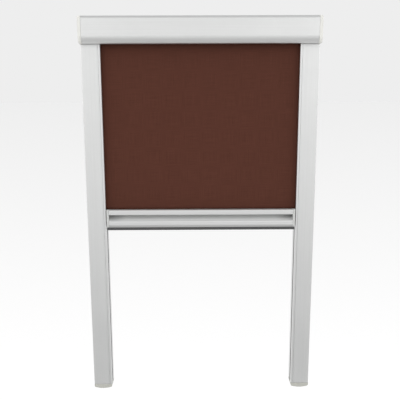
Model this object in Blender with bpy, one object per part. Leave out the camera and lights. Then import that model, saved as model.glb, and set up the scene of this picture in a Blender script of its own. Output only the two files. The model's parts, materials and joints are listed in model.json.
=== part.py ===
"""Roller blind for a skylight: a cassette with a spring roller, two side rails and a grip bar.

X runs across the blind, -Y points into the room and Z points up, in metres.
The origin is the centre of the rear face of the cassette's back plate.
In outlines, depth is measured from that face into the room, and inset from a rail's outer side.
"""
import math

import bmesh
import bpy

# Whole blind
WIDTH = 0.490  # over the rails and the cassette's end caps
HEIGHT = 0.817  # from the cassette's top to the feet
BAR_DROP = 0.4010  # from the cassette's top to the grip bar's top, at rest

# Clearances
GAP = 0.0003  # between pieces that touch
RUNNING_GAP = 0.0006  # between a fixed piece and one that moves past it
SIDE_PLAY = 0.0010  # between the roller and each bracket

# Side rails
RAIL_WIDTH = 0.040
RAIL_DEPTH = 0.032
RAIL_WALL = 0.0014
RAIL_FRONT_ROOM = 0.0060  # from the web to the rail's front, where screw heads sit
RAIL_LIP = 0.0045  # the part of the front that belongs to the base
RAIL_CORNER = 0.0012
RAIL_COVER_LEG = 0.0040
RAIL_COVER_BARB = 0.0006
SLOT_WIDTH = 0.0100
PILE_SHOULDER = 0.0006  # stops the front pile from sliding out of the slot
PILE_WIDTH = 0.0050
PILE_BASE = 0.0008
PILE_THICKNESS = 0.0028
FIXING_HOLE_RADIUS = 0.0022
FIXING_HOLE_INSET = 0.120  # from a rail's end to its fixing hole

# Rail feet
FOOT_HEIGHT = 0.0100
FOOT_CORNER = 0.0040
FOOT_BOW = 0.0022  # how far the underside bulges down in its middle
FOOT_PLUG = 0.0080

# Cloth
CLOTH_THICKNESS = 0.0004
CLOTH_IN_SLOT = 0.0120
CLOTH_RESERVE = 0.080  # stays on the roller with the bar fully down

# Roller
TUBE_RADIUS = 0.0125
TUBE_WALL = 0.0010
KEY_WIDTH = 0.0040
KEY_DEPTH = 0.0018
PLUG_FLANGE = 0.0020
PLUG_LENGTH = 0.0180
PIN_RADIUS = 0.0040
PIN_HEAD_RADIUS = 0.0060
PIN_HEAD = 0.0020
BUSH_WALL = 0.0015
COLLAR_WIDTH = 0.0080
SPRING_LENGTH = 0.150
SPRING_TURNS = 24
SPRING_WIRE_RADIUS = 0.0007
SPRING_BEND = 0.0015

# Cassette
CASSETTE_HEIGHT = 0.054
COVER_WALL = 0.0014
COVER_TOP_RADIUS = 0.0068
COVER_LOWER_RADIUS = 0.0200  # of the front's lower curve, which stops short of a full quarter
COVER_LOWER_TURN = 50.0  # degrees
COVER_EDGE_RADIUS = 0.0012
COVER_OVERLAP = 0.0020  # how far the cover's lip reaches back over the rails
ROLL_CLEARANCE = 0.0020  # from the full roll to the cover
BACK_WALL = 0.0016
CLOTH_EXIT = 0.0070  # from the cloth back to the back plate's flange
HOOK_WIDTH = 0.0014
HOOK_HEIGHT = 0.0015
BACK_HOLE_RADIUS = 0.0025
BACK_HOLE_SPACING = 0.300
END_CAP_WIDTH = 0.0063
END_BOSS = 0.0090
SPIGOT_LENGTH = 0.0100
BRACKET_THICKNESS = 0.0016
BRACKET_WIDTH = 0.0200
BRACKET_MARGIN = 0.0042
BRACKET_CORNER = 0.0040

# Grip bar
BAR_HEIGHT = 0.0360
BAR_PROUD = 0.0060  # in front of the rails
BAR_RISE = 0.0028  # how far the bar's top rises towards the room
BAR_TOP_RADIUS = 0.0022
BAR_BEHIND = 0.0080  # behind the cloth
BAR_SIDE_GAP = 0.0022
BAR_WALL = 0.0016
BAR_LIP = 0.0085
BAR_EDGE = 0.0012
RECESS_HEIGHT = 0.0117
RECESS_DEPTH = 0.0138
RECESS_CORNER = 0.0012
LOWER_LIP_RADIUS = 0.0040
CHAMFER_HEIGHT = 0.0043
CHAMFER_DEPTH = 0.0025
ROD_RADIUS = 0.0022
ROD_SLOT = 0.0016
ROD_SLOT_DEPTH = 0.0015
BAR_CAP_WIDTH = 0.0045
BAR_CAP_LUG = 0.0050
PORT_RIM = 0.0015  # material between the upper screw port and the bar's rear
LOWER_PORT_RIM = 0.0016
LOWER_PORT_DROP = 0.0070  # from the recess's lower edge to the lower screw port

# Bottom seal
SEAL_SETBACK = 0.0060  # from the bar's front to the seal
SEAL_NECK = 0.0010
SEAL_HEAD_WIDTH = 0.0040
SEAL_HEAD_HEIGHT = 0.0014
SEAL_NECK_HEIGHT = 0.0010
SEAL_BLADE_WIDTH = 0.0030
SEAL_BLADE_HEIGHT = 0.0070

# Slide shoes
TONGUE_THICKNESS = 0.0024
TONGUE_HEIGHT = 0.0200
TONGUE_IN_CAP = 0.0030
SHOE_INSET = 0.0060
SHOE_WIDTH = 0.0220
SHOE_DROP = 0.0060  # from the bar's top to the shoe's top
SHOE_HEIGHT = 0.0240

# Tension cords
CORD_RADIUS = 0.0009
CORD_INSET = 0.0180
CORD_ROOM = 0.0010  # round a cord where the shoe slides along it
CORD_HOLD = 0.0060  # held in the end cap and in the anchor
ANCHOR_WALL = 0.0010
ANCHOR_HEIGHT = 0.0070
CROSS_CORD_SPACING = 0.0060

# Screws
SCREW_RADIUS = 0.0012
SCREW_LENGTH = 0.0080
SCREW_HEAD_RADIUS = 0.0020
SCREW_HEAD_HEIGHT = 0.0018
RAIL_SCREW_INSET = 0.0100

# Facets
ROUND_STEPS = 32
PIN_STEPS = 24
HOLE_STEPS = 16
SCREW_STEPS = 12
CORNER_STEPS = 6
RECESS_STEPS = 8
BOW_STEPS = 8
ROLL_STEPS = 48
SPRING_STEPS = 8  # per turn
MERGE = 0.000001
THROUGH = 0.0010  # how far a cutter runs past the face it opens
SHARP_ANGLE = math.radians(35)

SIDES = {"left": -1, "right": 1}

# Rail section, as depths from the back
WEB_FRONT = RAIL_DEPTH - RAIL_FRONT_ROOM
WEB_BACK = WEB_FRONT - RAIL_WALL
SLOT_FRONT = WEB_BACK - PILE_SHOULDER
SLOT_BACK = SLOT_FRONT - SLOT_WIDTH
CLOTH_DEPTH = SLOT_FRONT - SLOT_WIDTH / 2
PILE_CARRIER = RAIL_WALL + GAP + PILE_WIDTH
CHAMBER_DEPTH = (RAIL_WALL + WEB_BACK) / 2
PILE_STANDOFF = TONGUE_THICKNESS / 2 + RUNNING_GAP

# Heights
CASSETTE_TOP = CASSETTE_HEIGHT / 2
CASSETTE_BOTTOM = -CASSETTE_HEIGHT / 2
FOOT_BOTTOM = CASSETTE_TOP - HEIGHT
FOOT_TOP = FOOT_BOTTOM + FOOT_HEIGHT
RAIL_TOP = CASSETTE_BOTTOM - GAP
RAIL_BOTTOM = FOOT_TOP + GAP
BAR_TOP = CASSETTE_TOP - BAR_DROP
SPIGOT_BOTTOM = RAIL_TOP - SPIGOT_LENGTH

# Travel of the bar: the shoes stop on the spigots and on the feet
TRAVEL_UP = SPIGOT_BOTTOM - (BAR_TOP - SHOE_DROP) - RUNNING_GAP
TRAVEL_DOWN = (BAR_TOP - SHOE_DROP - SHOE_HEIGHT) - (FOOT_TOP + FOOT_PLUG) - RUNNING_GAP

# Cloth and roll
CLOTH_WIDTH = WIDTH - 2 * RAIL_WIDTH + 2 * CLOTH_IN_SLOT
CLOTH_EDGE_INSET = RAIL_WIDTH - CLOTH_IN_SLOT
ROLL_CORE = TUBE_RADIUS + GAP
WOUND_AT_REST = CLOTH_RESERVE + TRAVEL_DOWN
ROLL_RADIUS = math.sqrt(ROLL_CORE**2 + WOUND_AT_REST * CLOTH_THICKNESS / math.pi)
FULL_WOUND = WOUND_AT_REST + TRAVEL_UP
FULL_ROLL_RADIUS = math.sqrt(ROLL_CORE**2 + FULL_WOUND * CLOTH_THICKNESS / math.pi)
AXIS_DEPTH = CLOTH_DEPTH + CLOTH_THICKNESS / 2 + GAP + ROLL_RADIUS

# Cassette section, as depths from the back
CASSETTE_DEPTH = AXIS_DEPTH + FULL_ROLL_RADIUS + ROLL_CLEARANCE + COVER_WALL
COVER_LIP_DEPTH = RAIL_DEPTH - COVER_OVERLAP
BACK_FLANGE = CLOTH_DEPTH - CLOTH_EXIT
BOSS_SETBACK = COVER_WALL + BACK_WALL + 2 * GAP
PROFILE_INSET = END_CAP_WIDTH + GAP

# Insets of what stacks up behind each end cap
BRACKET_INSET = END_CAP_WIDTH + END_BOSS + GAP
FLANGE_INSET = BRACKET_INSET + BRACKET_THICKNESS + SIDE_PLAY
TUBE_INSET = FLANGE_INSET + PLUG_FLANGE + GAP
BRACKET_SCREW_RISE = TUBE_RADIUS + SCREW_HEAD_RADIUS + RUNNING_GAP
BRACKET_HEIGHT = 2 * (BRACKET_SCREW_RISE + BRACKET_MARGIN)
SCREW_HOLE = SCREW_RADIUS + GAP
BUSH_BORE = PIN_RADIUS + GAP
BUSH_RADIUS = BUSH_BORE + BUSH_WALL
PLUG_BORE = BUSH_RADIUS + GAP
SPIGOT_RADIUS = TUBE_RADIUS - TUBE_WALL - GAP
KEY_FLOOR = TUBE_RADIUS - KEY_DEPTH
SPRING_RADIUS = (PIN_RADIUS + GAP + KEY_FLOOR - TUBE_WALL) / 2

# Bar section: depths from the back, heights down from the bar's top
BAR_FRONT = RAIL_DEPTH + BAR_PROUD
BAR_REAR = CLOTH_DEPTH - BAR_BEHIND
RECESS_BACK = BAR_FRONT - RECESS_DEPTH
RECESS_TOP = -BAR_LIP
RECESS_BOTTOM = RECESS_TOP - RECESS_HEIGHT
LIP_CENTRE = (BAR_FRONT - LOWER_LIP_RADIUS, RECESS_BOTTOM - LOWER_LIP_RADIUS)
ROD_ROOM = ROD_RADIUS + GAP
ROD_HEIGHT = -ROD_SLOT_DEPTH - ROD_ROOM
SEAL_DEPTH = BAR_FRONT - SEAL_SETBACK
BAR_CAP_INSET = RAIL_WIDTH + BAR_SIDE_GAP
BAR_INSET = BAR_CAP_INSET + BAR_CAP_WIDTH + GAP
REAR_CHAMBER_TOP = ROD_HEIGHT - ROD_ROOM - BAR_WALL
UPPER_PORT = (BAR_REAR + PORT_RIM + SCREW_HOLE, ROD_HEIGHT)
LOWER_PORT = (RECESS_BACK + SCREW_HOLE, RECESS_BOTTOM - LOWER_PORT_DROP)
CORD_CROSSINGS = {
    "front": CLOTH_DEPTH + CROSS_CORD_SPACING / 2 - TONGUE_THICKNESS,
    "rear": CLOTH_DEPTH - CROSS_CORD_SPACING / 2 - TONGUE_THICKNESS,
}


def material(name, colour, roughness, metallic):
    """A plain surface with one colour, roughness and metallic value."""
    made = bpy.data.materials.new(name)
    made.use_nodes = True
    shader = made.node_tree.nodes["Principled BSDF"]
    shader.inputs["Base Color"].default_value = (*colour, 1.0)
    shader.inputs["Roughness"].default_value = roughness
    shader.inputs["Metallic"].default_value = metallic
    return made


def arc(centre, radius, start, end, steps=CORNER_STEPS):
    """Points on a circle from one angle to another, in degrees, both ends included."""
    points = []
    for step in range(steps + 1):
        angle = math.radians(start + (end - start) * step / steps)
        points.append((centre[0] + radius * math.cos(angle), centre[1] + radius * math.sin(angle)))
    return points


def circle(centre, radius, steps):
    """A closed ring of points."""
    return arc(centre, radius, 0, 360, steps)[:-1]


def rectangle(left, right, low, high):
    """The four corners of a rectangle, in order."""
    return [(left, low), (right, low), (right, high), (left, high)]


def across(point, place):
    """Put a (depth, height) point of a section at an X position."""
    depth, height = point
    return (place, -depth, height)


def up_the_rail(side):
    """Return what puts an (inset, depth) point of one rail's section at a height."""

    def put(point, place):
        inset, depth = point
        return (SIDES[side] * (WIDTH / 2 - inset), -depth, place)

    return put


def finish(name, bm, surface, parent=None, location=(0, 0, 0), rotation=(0, 0, 0)):
    """Turn a bmesh into a named object with its surface and its place."""
    bmesh.ops.recalc_face_normals(bm, faces=bm.faces[:])
    mesh = bpy.data.meshes.new(name)
    bm.to_mesh(mesh)
    bm.free()
    mesh.shade_smooth()
    mesh.set_sharp_from_angle(angle=SHARP_ANGLE)
    mesh.materials.append(surface)
    made = bpy.data.objects.new(name, mesh)
    bpy.context.scene.collection.objects.link(made)
    made.parent = parent
    made.location = location
    made.rotation_euler = rotation
    return made


def extruded(name, loops, start, end, put, surface, parent=None):
    """A solid with one section all along it; loops after the first are hollows."""
    bm = bmesh.new()
    edges = []
    for loop in loops:
        ring = [bm.verts.new(put(point, start)) for point in loop]
        edges += [bm.edges.new((ring[i - 1], ring[i])) for i in range(len(ring))]
    bmesh.ops.triangle_fill(bm, use_beauty=True, edges=edges)
    grown = bmesh.ops.extrude_face_region(bm, geom=bm.faces[:])
    moved = [item for item in grown["geom"] if isinstance(item, bmesh.types.BMVert)]
    run = [b - a for a, b in zip(put(loops[0][0], start), put(loops[0][0], end))]
    bmesh.ops.translate(bm, vec=run, verts=moved)
    return finish(name, bm, surface, parent)


def turned(name, profile, surface, steps, parent=None, location=(0, 0, 0), rotation=(0, 0, 0)):
    """A body turned about its own X axis from (x, radius) points."""
    bm = bmesh.new()
    ring = [bm.verts.new((x, radius, 0)) for x, radius in profile]
    edges = [bm.edges.new((ring[i - 1], ring[i])) for i in range(1, len(ring))]
    if profile[0][1] > 0:
        edges.append(bm.edges.new((ring[-1], ring[0])))
    bmesh.ops.spin(
        bm,
        geom=ring + edges,
        cent=(0, 0, 0),
        axis=(1, 0, 0),
        angle=math.tau,
        steps=steps,
        use_merge=True,
    )
    bmesh.ops.remove_doubles(bm, verts=bm.verts[:], dist=MERGE)
    return finish(name, bm, surface, parent, location, rotation)


def box(name, x_span, y_span, z_span, surface, parent=None):
    """A block between two values on each axis."""
    bm = bmesh.new()
    spans = [sorted(span) for span in (x_span, y_span, z_span)]
    bmesh.ops.create_cube(bm, size=1.0)
    bmesh.ops.scale(bm, vec=[high - low for low, high in spans], verts=bm.verts[:])
    bmesh.ops.translate(bm, vec=[(low + high) / 2 for low, high in spans], verts=bm.verts[:])
    return finish(name, bm, surface, parent)


def rail_box(name, side, insets, depths, heights, surface, parent=None):
    """A block given by its insets, depths and heights on one side of the blind."""
    x_span = [SIDES[side] * (WIDTH / 2 - inset) for inset in insets]
    return box(name, x_span, [-depth for depth in depths], heights, surface, parent)


def drill(target, centre, radius, length, axis="X", steps=HOLE_STEPS):
    """Cut a round hole whose middle is at centre, in the target's own parent space."""
    bm = bmesh.new()
    bmesh.ops.create_cone(
        bm, cap_ends=True, segments=steps, radius1=radius, radius2=radius, depth=length
    )
    turns = {"X": (0, math.pi / 2, 0), "Y": (math.pi / 2, 0, 0), "Z": (0, 0, 0)}
    name = f"hole_{len(target.modifiers)}_in_{target.name}"
    cutter = finish(name, bm, target.data.materials[0], target.parent, centre, turns[axis])
    combine(target, cutter, "DIFFERENCE")


def combine(target, other, operation):
    """Join another body to the target, or cut it from the target, and keep it as a guide."""
    modifier = target.modifiers.new(f"{operation.title()} {other.name}", "BOOLEAN")
    modifier.operation = operation
    modifier.object = other
    other.hide_render = True
    other.display_type = "WIRE"


def empty(name, location):
    """A point that a moving body hangs on."""
    made = bpy.data.objects.new(name, None)
    bpy.context.scene.collection.objects.link(made)
    made.location = location
    return made


def lower_curve(setback):
    """The front's lower curve and its rounded edge, drawn in by a setback."""
    span = COVER_LOWER_RADIUS - COVER_EDGE_RADIUS
    rise = COVER_EDGE_RADIUS + span * math.sin(math.radians(COVER_LOWER_TURN))
    centre = (CASSETTE_DEPTH - COVER_LOWER_RADIUS, CASSETTE_BOTTOM + rise)
    radius = COVER_LOWER_RADIUS - setback
    edge = max(COVER_EDGE_RADIUS - setback, GAP)
    turn = math.degrees(math.asin((rise - setback - edge) / (radius - edge)))
    edge_depth = centre[0] + (radius - edge) * math.cos(math.radians(turn))
    edge_centre = (edge_depth, CASSETTE_BOTTOM + setback + edge)
    return arc(centre, radius, 0, -turn) + arc(edge_centre, edge, -turn, -90)[1:]


def cassette_outline(setback):
    """The cassette's outer section, drawn in by a setback."""
    top_radius = max(COVER_TOP_RADIUS - setback, GAP)
    rear = setback
    front = CASSETTE_DEPTH - setback
    top = CASSETTE_TOP - setback
    bottom = CASSETTE_BOTTOM + setback
    return (
        [(rear, bottom), (rear, top)]
        + arc((front - top_radius, top - top_radius), top_radius, 90, 0)
        + lower_curve(setback)
    )


def make_cover(surface):
    """The cassette's visible shell, hooked on the back plate's upper flange."""
    top_centre = (CASSETTE_DEPTH - COVER_TOP_RADIUS, CASSETTE_TOP - COVER_TOP_RADIUS)
    roof = CASSETTE_TOP - COVER_WALL
    floor = CASSETTE_BOTTOM + COVER_WALL
    hook_rear = BACK_FLANGE + GAP
    outer = [(0, CASSETTE_TOP)]
    outer += arc(top_centre, COVER_TOP_RADIUS, 90, 0)
    outer += lower_curve(0)
    lip = [
        (COVER_LIP_DEPTH, CASSETTE_BOTTOM),
        (COVER_LIP_DEPTH, floor + COVER_WALL),
        (COVER_LIP_DEPTH + COVER_WALL, floor + COVER_WALL),
        (COVER_LIP_DEPTH + COVER_WALL, floor),
    ]
    inner = lower_curve(COVER_WALL)[::-1]
    inner += arc(top_centre, COVER_TOP_RADIUS - COVER_WALL, 0, 90)
    hook = [
        (hook_rear + HOOK_WIDTH, roof),
        (hook_rear + HOOK_WIDTH, roof - HOOK_HEIGHT),
        (hook_rear, roof - HOOK_HEIGHT),
        (hook_rear, roof),
        (0, roof),
    ]
    half = WIDTH / 2 - PROFILE_INSET
    extruded("cassette_cover", [outer + lip + inner + hook], -half, half, across, surface)


def make_back_plate(surface):
    """The channel that is fastened to the window, with two fixing holes."""
    roof = CASSETTE_TOP - COVER_WALL - GAP
    section = [
        (0, CASSETTE_BOTTOM),
        (BACK_FLANGE, CASSETTE_BOTTOM),
        (BACK_FLANGE, CASSETTE_BOTTOM + BACK_WALL),
        (BACK_WALL, CASSETTE_BOTTOM + BACK_WALL),
        (BACK_WALL, roof - BACK_WALL),
        (BACK_FLANGE, roof - BACK_WALL),
        (BACK_FLANGE, roof),
        (0, roof),
    ]
    half = WIDTH / 2 - PROFILE_INSET
    plate = extruded("cassette_back_plate", [section], -half, half, across, surface)
    for side in (-1, 1):
        centre = (side * BACK_HOLE_SPACING / 2, -BACK_WALL / 2, 0)
        drill(plate, centre, BACK_HOLE_RADIUS, BACK_WALL + 2 * THROUGH, "Y")


def make_end_cap(side, surface):
    """A cassette end with a boss that plugs the section and a spigot that holds the rail."""
    sign = SIDES[side]
    outer = sign * WIDTH / 2
    inner = sign * (WIDTH / 2 - END_CAP_WIDTH)
    boss_end = sign * (WIDTH / 2 - END_CAP_WIDTH - END_BOSS)
    cap = extruded(f"{side}_end_cap", [cassette_outline(0)], outer, inner, across, surface)
    boss = extruded(
        f"boss_of_{side}_end_cap",
        [cassette_outline(BOSS_SETBACK)],
        inner + sign * THROUGH,
        boss_end,
        across,
        surface,
    )
    plug_depths = (RAIL_WALL + GAP, WEB_BACK - GAP)
    neck_depths = (BACK_FLANGE + GAP, min(WEB_BACK, COVER_LIP_DEPTH) - GAP)
    outer_inset = RAIL_WALL + GAP
    neck = rail_box(
        f"neck_of_{side}_end_cap",
        side,
        (outer_inset, END_CAP_WIDTH + END_BOSS),
        neck_depths,
        (RAIL_TOP - THROUGH, CASSETTE_BOTTOM + BOSS_SETBACK + THROUGH),
        surface,
    )
    plug = rail_box(
        f"plug_of_{side}_end_cap",
        side,
        (outer_inset, CLOTH_EDGE_INSET - SIDE_PLAY),
        plug_depths,
        (SPIGOT_BOTTOM, RAIL_TOP),
        surface,
    )
    for addition in (boss, neck, plug):
        combine(cap, addition, "UNION")
    pocket = PIN_HEAD + GAP
    pocket_centre = sign * (WIDTH / 2 - BRACKET_INSET + pocket / 2)
    drill(cap, (pocket_centre, -AXIS_DEPTH, 0), PIN_HEAD_RADIUS + GAP, pocket, "X", PIN_STEPS)
    screw_mid = sign * (WIDTH / 2 - BRACKET_INSET + SCREW_LENGTH / 2)
    for rise in (-BRACKET_SCREW_RISE, BRACKET_SCREW_RISE):
        drill(cap, (screw_mid, -AXIS_DEPTH, rise), SCREW_HOLE, SCREW_LENGTH + 2 * GAP)
    drill(
        cap,
        (sign * (WIDTH / 2 - RAIL_SCREW_INSET), -WEB_BACK, RAIL_TOP - SPIGOT_LENGTH / 2),
        SCREW_HOLE,
        2 * SCREW_LENGTH,
        "Y",
    )
    drill(
        cap,
        (sign * (WIDTH / 2 - CORD_INSET), -CHAMBER_DEPTH, SPIGOT_BOTTOM),
        CORD_RADIUS + GAP,
        2 * (CORD_HOLD + GAP),
        "Z",
    )


def make_bracket(side, surface):
    """The steel plate that carries one end of the roller."""
    half_width = BRACKET_WIDTH / 2
    half_height = BRACKET_HEIGHT / 2
    section = []
    for right, top, start in ((1, 1, 0), (-1, 1, 90), (-1, -1, 180), (1, -1, 270)):
        centre = (
            AXIS_DEPTH + right * (half_width - BRACKET_CORNER),
            top * (half_height - BRACKET_CORNER),
        )
        section += arc(centre, BRACKET_CORNER, start, start + 90)
    holes = [circle((AXIS_DEPTH, 0), PIN_RADIUS + GAP, PIN_STEPS)]
    for rise in (-BRACKET_SCREW_RISE, BRACKET_SCREW_RISE):
        holes.append(circle((AXIS_DEPTH, rise), SCREW_HOLE, HOLE_STEPS))
    sign = SIDES[side]
    start = sign * (WIDTH / 2 - BRACKET_INSET)
    end = start - sign * BRACKET_THICKNESS
    extruded(f"{side}_roller_bracket", [section] + holes, start, end, across, surface)


def screw(name, location, rotation, surface, parent=None):
    """A pan-head screw whose shank runs along its own +X from the head's underside."""
    head = [(-SCREW_HEAD_HEIGHT, 0), (-SCREW_HEAD_HEIGHT, SCREW_HEAD_RADIUS * 0.7)]
    head += [(-SCREW_HEAD_HEIGHT / 2, SCREW_HEAD_RADIUS), (0, SCREW_HEAD_RADIUS)]
    shank = [(0, SCREW_RADIUS), (SCREW_LENGTH, SCREW_RADIUS), (SCREW_LENGTH, 0)]
    turned(name, head + shank, surface, SCREW_STEPS, parent, location, rotation)


def outward(side):
    """The turn that points a screw's shank away from the blind's middle."""
    return (0, 0, 0) if side == "right" else (0, 0, math.pi)


def make_bracket_screws(side, surface):
    sign = SIDES[side]
    seat = sign * (WIDTH / 2 - BRACKET_INSET - BRACKET_THICKNESS - GAP)
    for name, rise in (("upper", BRACKET_SCREW_RISE), ("lower", -BRACKET_SCREW_RISE)):
        location = (seat, -AXIS_DEPTH, rise)
        screw(f"{side}_{name}_bracket_screw", location, outward(side), surface)


def rail_base_section():
    """The rail's extrusion: a slotted chamber for the cloth and a front room behind the cover."""
    inner = RAIL_WIDTH - RAIL_WALL
    lip_back = RAIL_DEPTH - RAIL_WALL
    corner = (RAIL_WIDTH - RAIL_CORNER, RAIL_DEPTH - RAIL_CORNER)
    return (
        [
            (0, 0),
            (RAIL_WIDTH, 0),
            (RAIL_WIDTH, SLOT_BACK),
            (RAIL_WIDTH - PILE_CARRIER, SLOT_BACK),
            (RAIL_WIDTH - PILE_CARRIER, SLOT_BACK - RAIL_WALL),
            (inner, SLOT_BACK - RAIL_WALL),
            (inner, RAIL_WALL),
            (RAIL_WALL, RAIL_WALL),
            (RAIL_WALL, WEB_BACK),
            (inner, WEB_BACK),
            (inner, SLOT_FRONT),
            (RAIL_WIDTH, SLOT_FRONT),
        ]
        + arc(corner, RAIL_CORNER, 0, 90, 3)
        + [
            (RAIL_WIDTH - RAIL_LIP, RAIL_DEPTH),
            (RAIL_WIDTH - RAIL_LIP, lip_back),
            (inner, lip_back),
            (inner, WEB_FRONT),
            (0, WEB_FRONT),
        ]
    )


def rail_cover_section():
    """The snap-on front: one leg meets the base's outer wall, the other hooks under its lip."""
    leg = WEB_FRONT + GAP
    edge = RAIL_WIDTH - RAIL_LIP - GAP
    under_lip = RAIL_DEPTH - RAIL_WALL - GAP
    leg_end = RAIL_DEPTH - RAIL_COVER_LEG
    corner = (RAIL_CORNER, RAIL_DEPTH - RAIL_CORNER)
    return (
        [(0, leg)]
        + arc(corner, RAIL_CORNER, 180, 90, 3)
        + [
            (edge, RAIL_DEPTH),
            (edge, under_lip),
            (edge + RAIL_COVER_BARB, under_lip),
            (edge, leg_end),
            (edge - RAIL_WALL, leg_end),
            (edge - RAIL_WALL, RAIL_DEPTH - RAIL_WALL),
            (RAIL_WALL, RAIL_DEPTH - RAIL_WALL),
            (RAIL_WALL, leg),
        ]
    )


def rail_screw_heights():
    """The heights of the screws that hold the end cap's spigot and the foot's plug."""
    return {"rail": RAIL_TOP - SPIGOT_LENGTH / 2, "foot": FOOT_TOP + FOOT_PLUG / 2}


def make_rail(side, surface):
    sign = SIDES[side]
    put = up_the_rail(side)
    base = extruded(
        f"{side}_rail_base", [rail_base_section()], RAIL_BOTTOM, RAIL_TOP, put, surface
    )
    extruded(f"{side}_rail_cover", [rail_cover_section()], RAIL_BOTTOM, RAIL_TOP, put, surface)
    web_mid = -(WEB_BACK + WEB_FRONT) / 2
    web_through = RAIL_WALL + 2 * THROUGH
    for height in rail_screw_heights().values():
        x = sign * (WIDTH / 2 - RAIL_SCREW_INSET)
        drill(base, (x, web_mid, height), SCREW_HOLE, web_through, "Y")
    for height in (RAIL_TOP - FIXING_HOLE_INSET, RAIL_BOTTOM + FIXING_HOLE_INSET):
        centre = (sign * (WIDTH / 2 - RAIL_WALL / 2), -CHAMBER_DEPTH, height)
        drill(base, centre, FIXING_HOLE_RADIUS, RAIL_WALL + 2 * THROUGH)


def make_rail_screws(side, surface):
    sign = SIDES[side]
    for name, height in rail_screw_heights().items():
        x = sign * (WIDTH / 2 - RAIL_SCREW_INSET)
        location = (x, -(WEB_FRONT + GAP), height)
        screw(f"{side}_{name}_screw", location, (0, 0, math.pi / 2), surface)


def make_pile_seals(side, surface):
    """The two strips that close the slot on the cloth; each has a base and a narrower pile."""
    edge = RAIL_WIDTH - RAIL_WALL - GAP
    middle = edge - PILE_WIDTH / 2
    seats = {
        "front": (WEB_BACK - GAP, CLOTH_DEPTH + PILE_STANDOFF),
        "rear": (SLOT_BACK + GAP, CLOTH_DEPTH - PILE_STANDOFF),
    }
    for place, (seat, tip) in seats.items():
        shoulder = seat + math.copysign(PILE_BASE, tip - seat)
        section = [
            (edge, seat),
            (edge, shoulder),
            (middle + PILE_THICKNESS / 2, shoulder),
            (middle + PILE_THICKNESS / 2, tip),
            (middle - PILE_THICKNESS / 2, tip),
            (middle - PILE_THICKNESS / 2, shoulder),
            (edge - PILE_WIDTH, shoulder),
            (edge - PILE_WIDTH, seat),
        ]
        extruded(
            f"{side}_{place}_pile_seal",
            [section],
            RAIL_BOTTOM,
            RAIL_TOP,
            up_the_rail(side),
            surface,
        )


def make_foot(side, surface):
    """The rail's lower end: a block under the rail and a plug in its chamber."""
    sign = SIDES[side]
    low = FOOT_BOTTOM + FOOT_BOW + FOOT_CORNER
    half_chord = RAIL_WIDTH / 2 - FOOT_CORNER
    bow_radius = (half_chord**2 + FOOT_BOW**2) / (2 * FOOT_BOW)
    bow_half = math.degrees(math.asin(half_chord / bow_radius))
    bow_centre = (RAIL_WIDTH / 2, FOOT_BOTTOM + bow_radius)
    bow = arc(bow_centre, bow_radius, -90 + bow_half, -90 - bow_half, BOW_STEPS)
    section = arc((RAIL_WIDTH - FOOT_CORNER, low), FOOT_CORNER, 0, -90)
    section += bow[1:-1]
    section += arc((FOOT_CORNER, low), FOOT_CORNER, -90, -180)
    section += [(0, FOOT_TOP), (RAIL_WIDTH, FOOT_TOP)]

    def put(point, place):
        inset, height = point
        return (sign * (WIDTH / 2 - inset), -place, height)

    foot = extruded(f"{side}_rail_foot", [section], 0, RAIL_DEPTH, put, surface)
    plug = rail_box(
        f"plug_of_{side}_rail_foot",
        side,
        (RAIL_WALL + GAP, RAIL_WIDTH - PILE_CARRIER - 2 * GAP),
        (RAIL_WALL + GAP, WEB_BACK - GAP),
        (FOOT_TOP - THROUGH, FOOT_TOP + FOOT_PLUG),
        surface,
    )
    combine(foot, plug, "UNION")
    anchor_radius = CORD_RADIUS + GAP + ANCHOR_WALL
    cord_x = sign * (WIDTH / 2 - CORD_INSET)
    drill(
        foot,
        (cord_x, -CHAMBER_DEPTH, FOOT_TOP + FOOT_PLUG),
        anchor_radius + GAP,
        2 * (ANCHOR_HEIGHT + GAP),
        "Z",
    )
    screw_x = sign * (WIDTH / 2 - RAIL_SCREW_INSET)
    height = rail_screw_heights()["foot"]
    drill(foot, (screw_x, -WEB_BACK, height), SCREW_HOLE, 2 * SCREW_LENGTH, "Y")


def make_cord_anchor(side, surface):
    """The sleeve in the foot that grips the cord's lower end."""
    bore = CORD_RADIUS + GAP
    radius = bore + ANCHOR_WALL
    profile = [(0, bore), (0, radius), (ANCHOR_HEIGHT, radius), (ANCHOR_HEIGHT, bore)]
    location = (
        SIDES[side] * (WIDTH / 2 - CORD_INSET),
        -CHAMBER_DEPTH,
        FOOT_TOP + FOOT_PLUG,
    )
    name = f"{side}_cord_anchor"
    turned(name, profile, surface, HOLE_STEPS, None, location, (0, math.pi / 2, 0))


def cord(name, start, end, radius, surface, parent=None):
    """A taut cord between two points."""
    curve = bpy.data.curves.new(name, "CURVE")
    curve.dimensions = "3D"
    curve.bevel_depth = radius
    curve.bevel_resolution = 2
    curve.use_fill_caps = True
    spline = curve.splines.new("POLY")
    spline.points.add(1)
    for point, place in zip(spline.points, (start, end)):
        point.co = (*place, 1)
    curve.materials.append(surface)
    made = bpy.data.objects.new(name, curve)
    bpy.context.scene.collection.objects.link(made)
    made.parent = parent


def make_tension_cord(side, surface):
    x = SIDES[side] * (WIDTH / 2 - CORD_INSET)
    start = (x, -CHAMBER_DEPTH, SPIGOT_BOTTOM + CORD_HOLD)
    end = (x, -CHAMBER_DEPTH, FOOT_TOP + FOOT_PLUG - CORD_HOLD)
    cord(f"{side}_tension_cord", start, end, CORD_RADIUS, surface)


def make_cross_cords(surface, parent):
    half = WIDTH / 2 - BAR_INSET - BAR_CAP_LUG - GAP
    height = REAR_CHAMBER_TOP - BAR_CAP_LUG
    for place, depth in CORD_CROSSINGS.items():
        name = f"{place}_cross_cord"
        cord(name, (-half, -depth, height), (half, -depth, height), CORD_RADIUS, surface, parent)


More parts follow.
